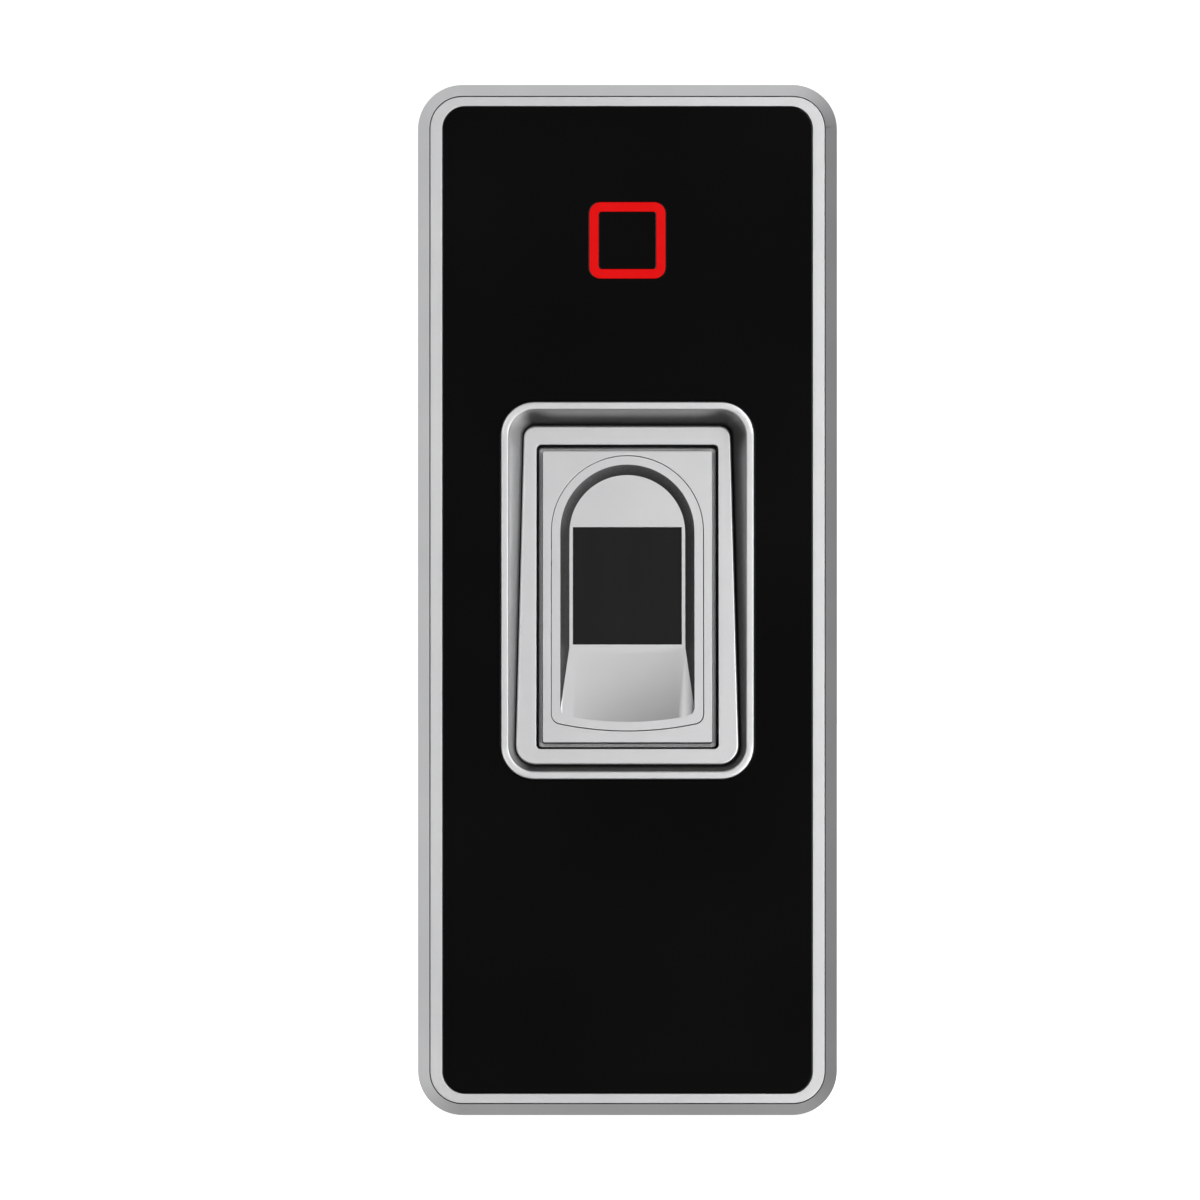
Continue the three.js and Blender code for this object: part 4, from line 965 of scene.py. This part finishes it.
head_level = back_level + 0.05
first_x, first_z = cover_places[0]
cover_screw = turned([(1.9, head_level), (2.2, head_level + 0.25), (2.2, head_level + 1),
                      (1.25, head_level + 1), (1.25, head_level + 9), (0.4, head_level + 10)],
                     32, first_x, first_z)
cross_length, cross_width, cross_depth = 2.4, 0.62, 0.5
combine('DIFFERENCE', cover_screw, *[
    rounded_block(across, up, 0.1, 0, head_level + cross_depth, first_x, first_z, steps=2)
    for across, up in ((cross_length, cross_width), (cross_width, cross_length))])
complete(cover_screw, 'cross_cover_screw', edge=0.05)
cover_screw.data.materials.append(black_zinc)
for number in (1, 2, 3, 4):
    low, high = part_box(f'cover_screw_{number}')
    fitted = cover_screw.copy()
    fitted.data = cover_screw.data.copy()
    fitted.name = fitted.data.name = f'cross_cover_screw_{number}'
    bpy.context.scene.collection.objects.link(fitted)
    shift = ((low.x + high.x) / 2 - first_x * mm, 0, (low.z + high.z) / 2 - first_z * mm)
    fitted.data.transform(Matrix.Translation(shift))
    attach(fitted, 'terminal')
    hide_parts(f'cover_screw_{number}')
bpy.data.objects.remove(cover_screw)


# -------------------------------------------------------------- tamper plunger
# A hollow nylon button on a light spring. The wall plate holds it in, and when the terminal is
# lifted off it springs out and opens the tamper switch.

tip_level = 1.5
plunger = turned([(1.6, tip_level), (2.2, tip_level + 0.15), (2.5, tip_level + 0.6), (2.5, 5.3),
                  (3.3, 5.3), (3.3, 6.0)], 40, 0, tamper_z)
spring_bore = 3.8
combine('DIFFERENCE', plunger, round_bar(spring_bore, tip_level + 0.8, 8, z=tamper_z))
complete(plunger, 'nylon_tamper_plunger', edge=0.06)
plunger.data.materials.append(cream_plastic)
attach(plunger, 'tamper_plunger')
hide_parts('tamper_plunger')


# ------------------------------------------------------------------ lock screw
# A captive M3 security screw of black zinc plated steel. It has a hexagon socket with a centre
# pin, and goes up through the housing's bottom wall into the wall plate's lug.

head_foot = -height / 2 + 0.05
lock_screw = turned([(2.45, head_foot), (2.8, head_foot + 0.35), (2.8, head_foot + 2),
                     (1.5, head_foot + 2), (1.5, head_foot + 6.4), (1.0, head_foot + 6.9)],
                    40, 0, lock_level, upright=True)
socket, pin = 2.9, 1
combine('DIFFERENCE', lock_screw, round_bar(
    socket, head_foot - 1, head_foot + 1.2, z=lock_level, sides=6, upright=True))
combine('UNION', lock_screw, round_bar(
    pin, head_foot + 0.3, head_foot + 1.4, z=lock_level, sides=24, upright=True))
complete(lock_screw, 'pinned_lock_screw', edge=0.06)
lock_screw.data.materials.append(black_zinc)
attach(lock_screw, 'lock_screw')
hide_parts('lock_screw')


# ---------------------------------------------------------------------- studio
# A white floor in a white room, with soft panels of light above, to the left and to the right of
# the camera. The front of the room is dark, so that the black panel stays black.

bpy.ops.object.select_all(action='DESELECT')
bpy.ops.mesh.primitive_plane_add(size=6, location=(0, 0, cad_box[0].z - 0.0003))
floor = bpy.context.object
floor.name = 'floor'
floor_paint, shader, add, link = new_finish('white_floor', (0.9, 0.9, 0.9), 0.0, 0.8)
speck = grain(add, link, 12.0)
vary(add, link, speck, 0.75, 0.85, shader.inputs['Roughness'])
shader.inputs['Specular IOR Level'].default_value = 0.0
shader.inputs['Emission Color'].default_value = (1, 1, 1, 1)
shader.inputs['Emission Strength'].default_value = 0.85
floor.data.materials.append(floor_paint)
floor.visible_glossy = False
floor.visible_diffuse = False
floor.visible_shadow = False


def soft_light(name, place, size, power):
    """A rectangle of light, its place and size in metres, turned to the terminal's middle."""
    data = bpy.data.lights.new(name, 'AREA')
    data.shape = 'RECTANGLE'
    data.size, data.size_y = size
    data.energy = power
    lamp = bpy.data.objects.new(name, data)
    bpy.context.scene.collection.objects.link(lamp)
    lamp.location = place
    lamp.rotation_euler = (-Vector(place)).to_track_quat('-Z', 'Y').to_euler()
    lamp.visible_camera = False
    return lamp


soft_light('right_panel', (0.42, -0.95, 0.0), (0.3, 1.4), 5.4)
soft_light('right_near', (0.2, -1.0, 0.0), (0.12, 0.8), 0.58)
soft_light('left_panel', (-0.3, -1.0, 0.0), (0.16, 0.8), 1.5)
soft_light('right_far', (0.75, -0.66, 0.0), (0.2, 1.0), 0.3)
soft_light('high_front', (0.0, -0.9, 0.5), (0.6, 0.3), 0.13)

world = bpy.data.worlds.new('white_room')
bpy.context.scene.world = world
world.use_nodes = True
room = world.node_tree
room.nodes.clear()


def room_node(kind, **values):
    node = room.nodes.new('ShaderNode' + kind)
    for key, value in values.items():
        setattr(node, key, value)
    return node


def room_math(operation, first, second):
    node = room_node('Math', operation=operation)
    for socket, value in zip(node.inputs, (first, second)):
        if isinstance(value, bpy.types.NodeSocket):
            room.links.new(value, socket)
        else:
            socket.default_value = value
    return node.outputs[0]


direction = room_node('TexCoord')
axes = room_node('SeparateXYZ')
room.links.new(direction.outputs['Generated'], axes.inputs[0])
washes = 0.0
for axis, lower_wash, upper_wash in (('X', 1.15, 0.42), ('Y', 0.0, 0.8), ('Z', 0.62, 1.1)):
    side = axes.outputs[axis]
    for turned_to, wash in ((-1, lower_wash), (1, upper_wash)):
        towards = room_math('MAXIMUM', room_math('MULTIPLY', side, turned_to), 0.0)
        square = room_math('MULTIPLY', towards, towards)
        washes = room_math('ADD', washes, room_math('MULTIPLY', square, wash))
aside = room_math('MULTIPLY', room_math('ADD', axes.outputs['Y'], 0.3), 4.0)
clear = room_math('MINIMUM', room_math('MAXIMUM', aside, 0.0), 1.0)
dim = room_math('MULTIPLY', washes, clear)
unseen = room_node('Background')
room.links.new(dim, unseen.inputs['Color'])
seen = room_node('Background')
seen.inputs['Color'].default_value = (1, 1, 1, 1)
seen.inputs['Strength'].default_value = 1.1
rays = room_node('LightPath')
both = room_node('MixShader')
room.links.new(rays.outputs['Is Camera Ray'], both.inputs[0])
room.links.new(unseen.outputs[0], both.inputs[1])
room.links.new(seen.outputs[0], both.inputs[2])
room.links.new(both.outputs[0], room_node('OutputWorld').inputs['Surface'])

frame_width = 0.1721
frame_middle = -0.00394
lens = bpy.data.cameras.new('camera')
lens.lens = 200
lens.sensor_width = 36
camera = bpy.data.objects.new('camera', lens)
bpy.context.scene.collection.objects.link(camera)
distance = frame_width * lens.lens / lens.sensor_width
camera.location = (frame_middle, -rim_level * mm - distance, 0)
camera.rotation_euler = (math.pi / 2, 0, 0)
lens.clip_end = 20
bpy.context.scene.camera = camera
bpy.context.scene.view_settings.view_transform = 'Standard'
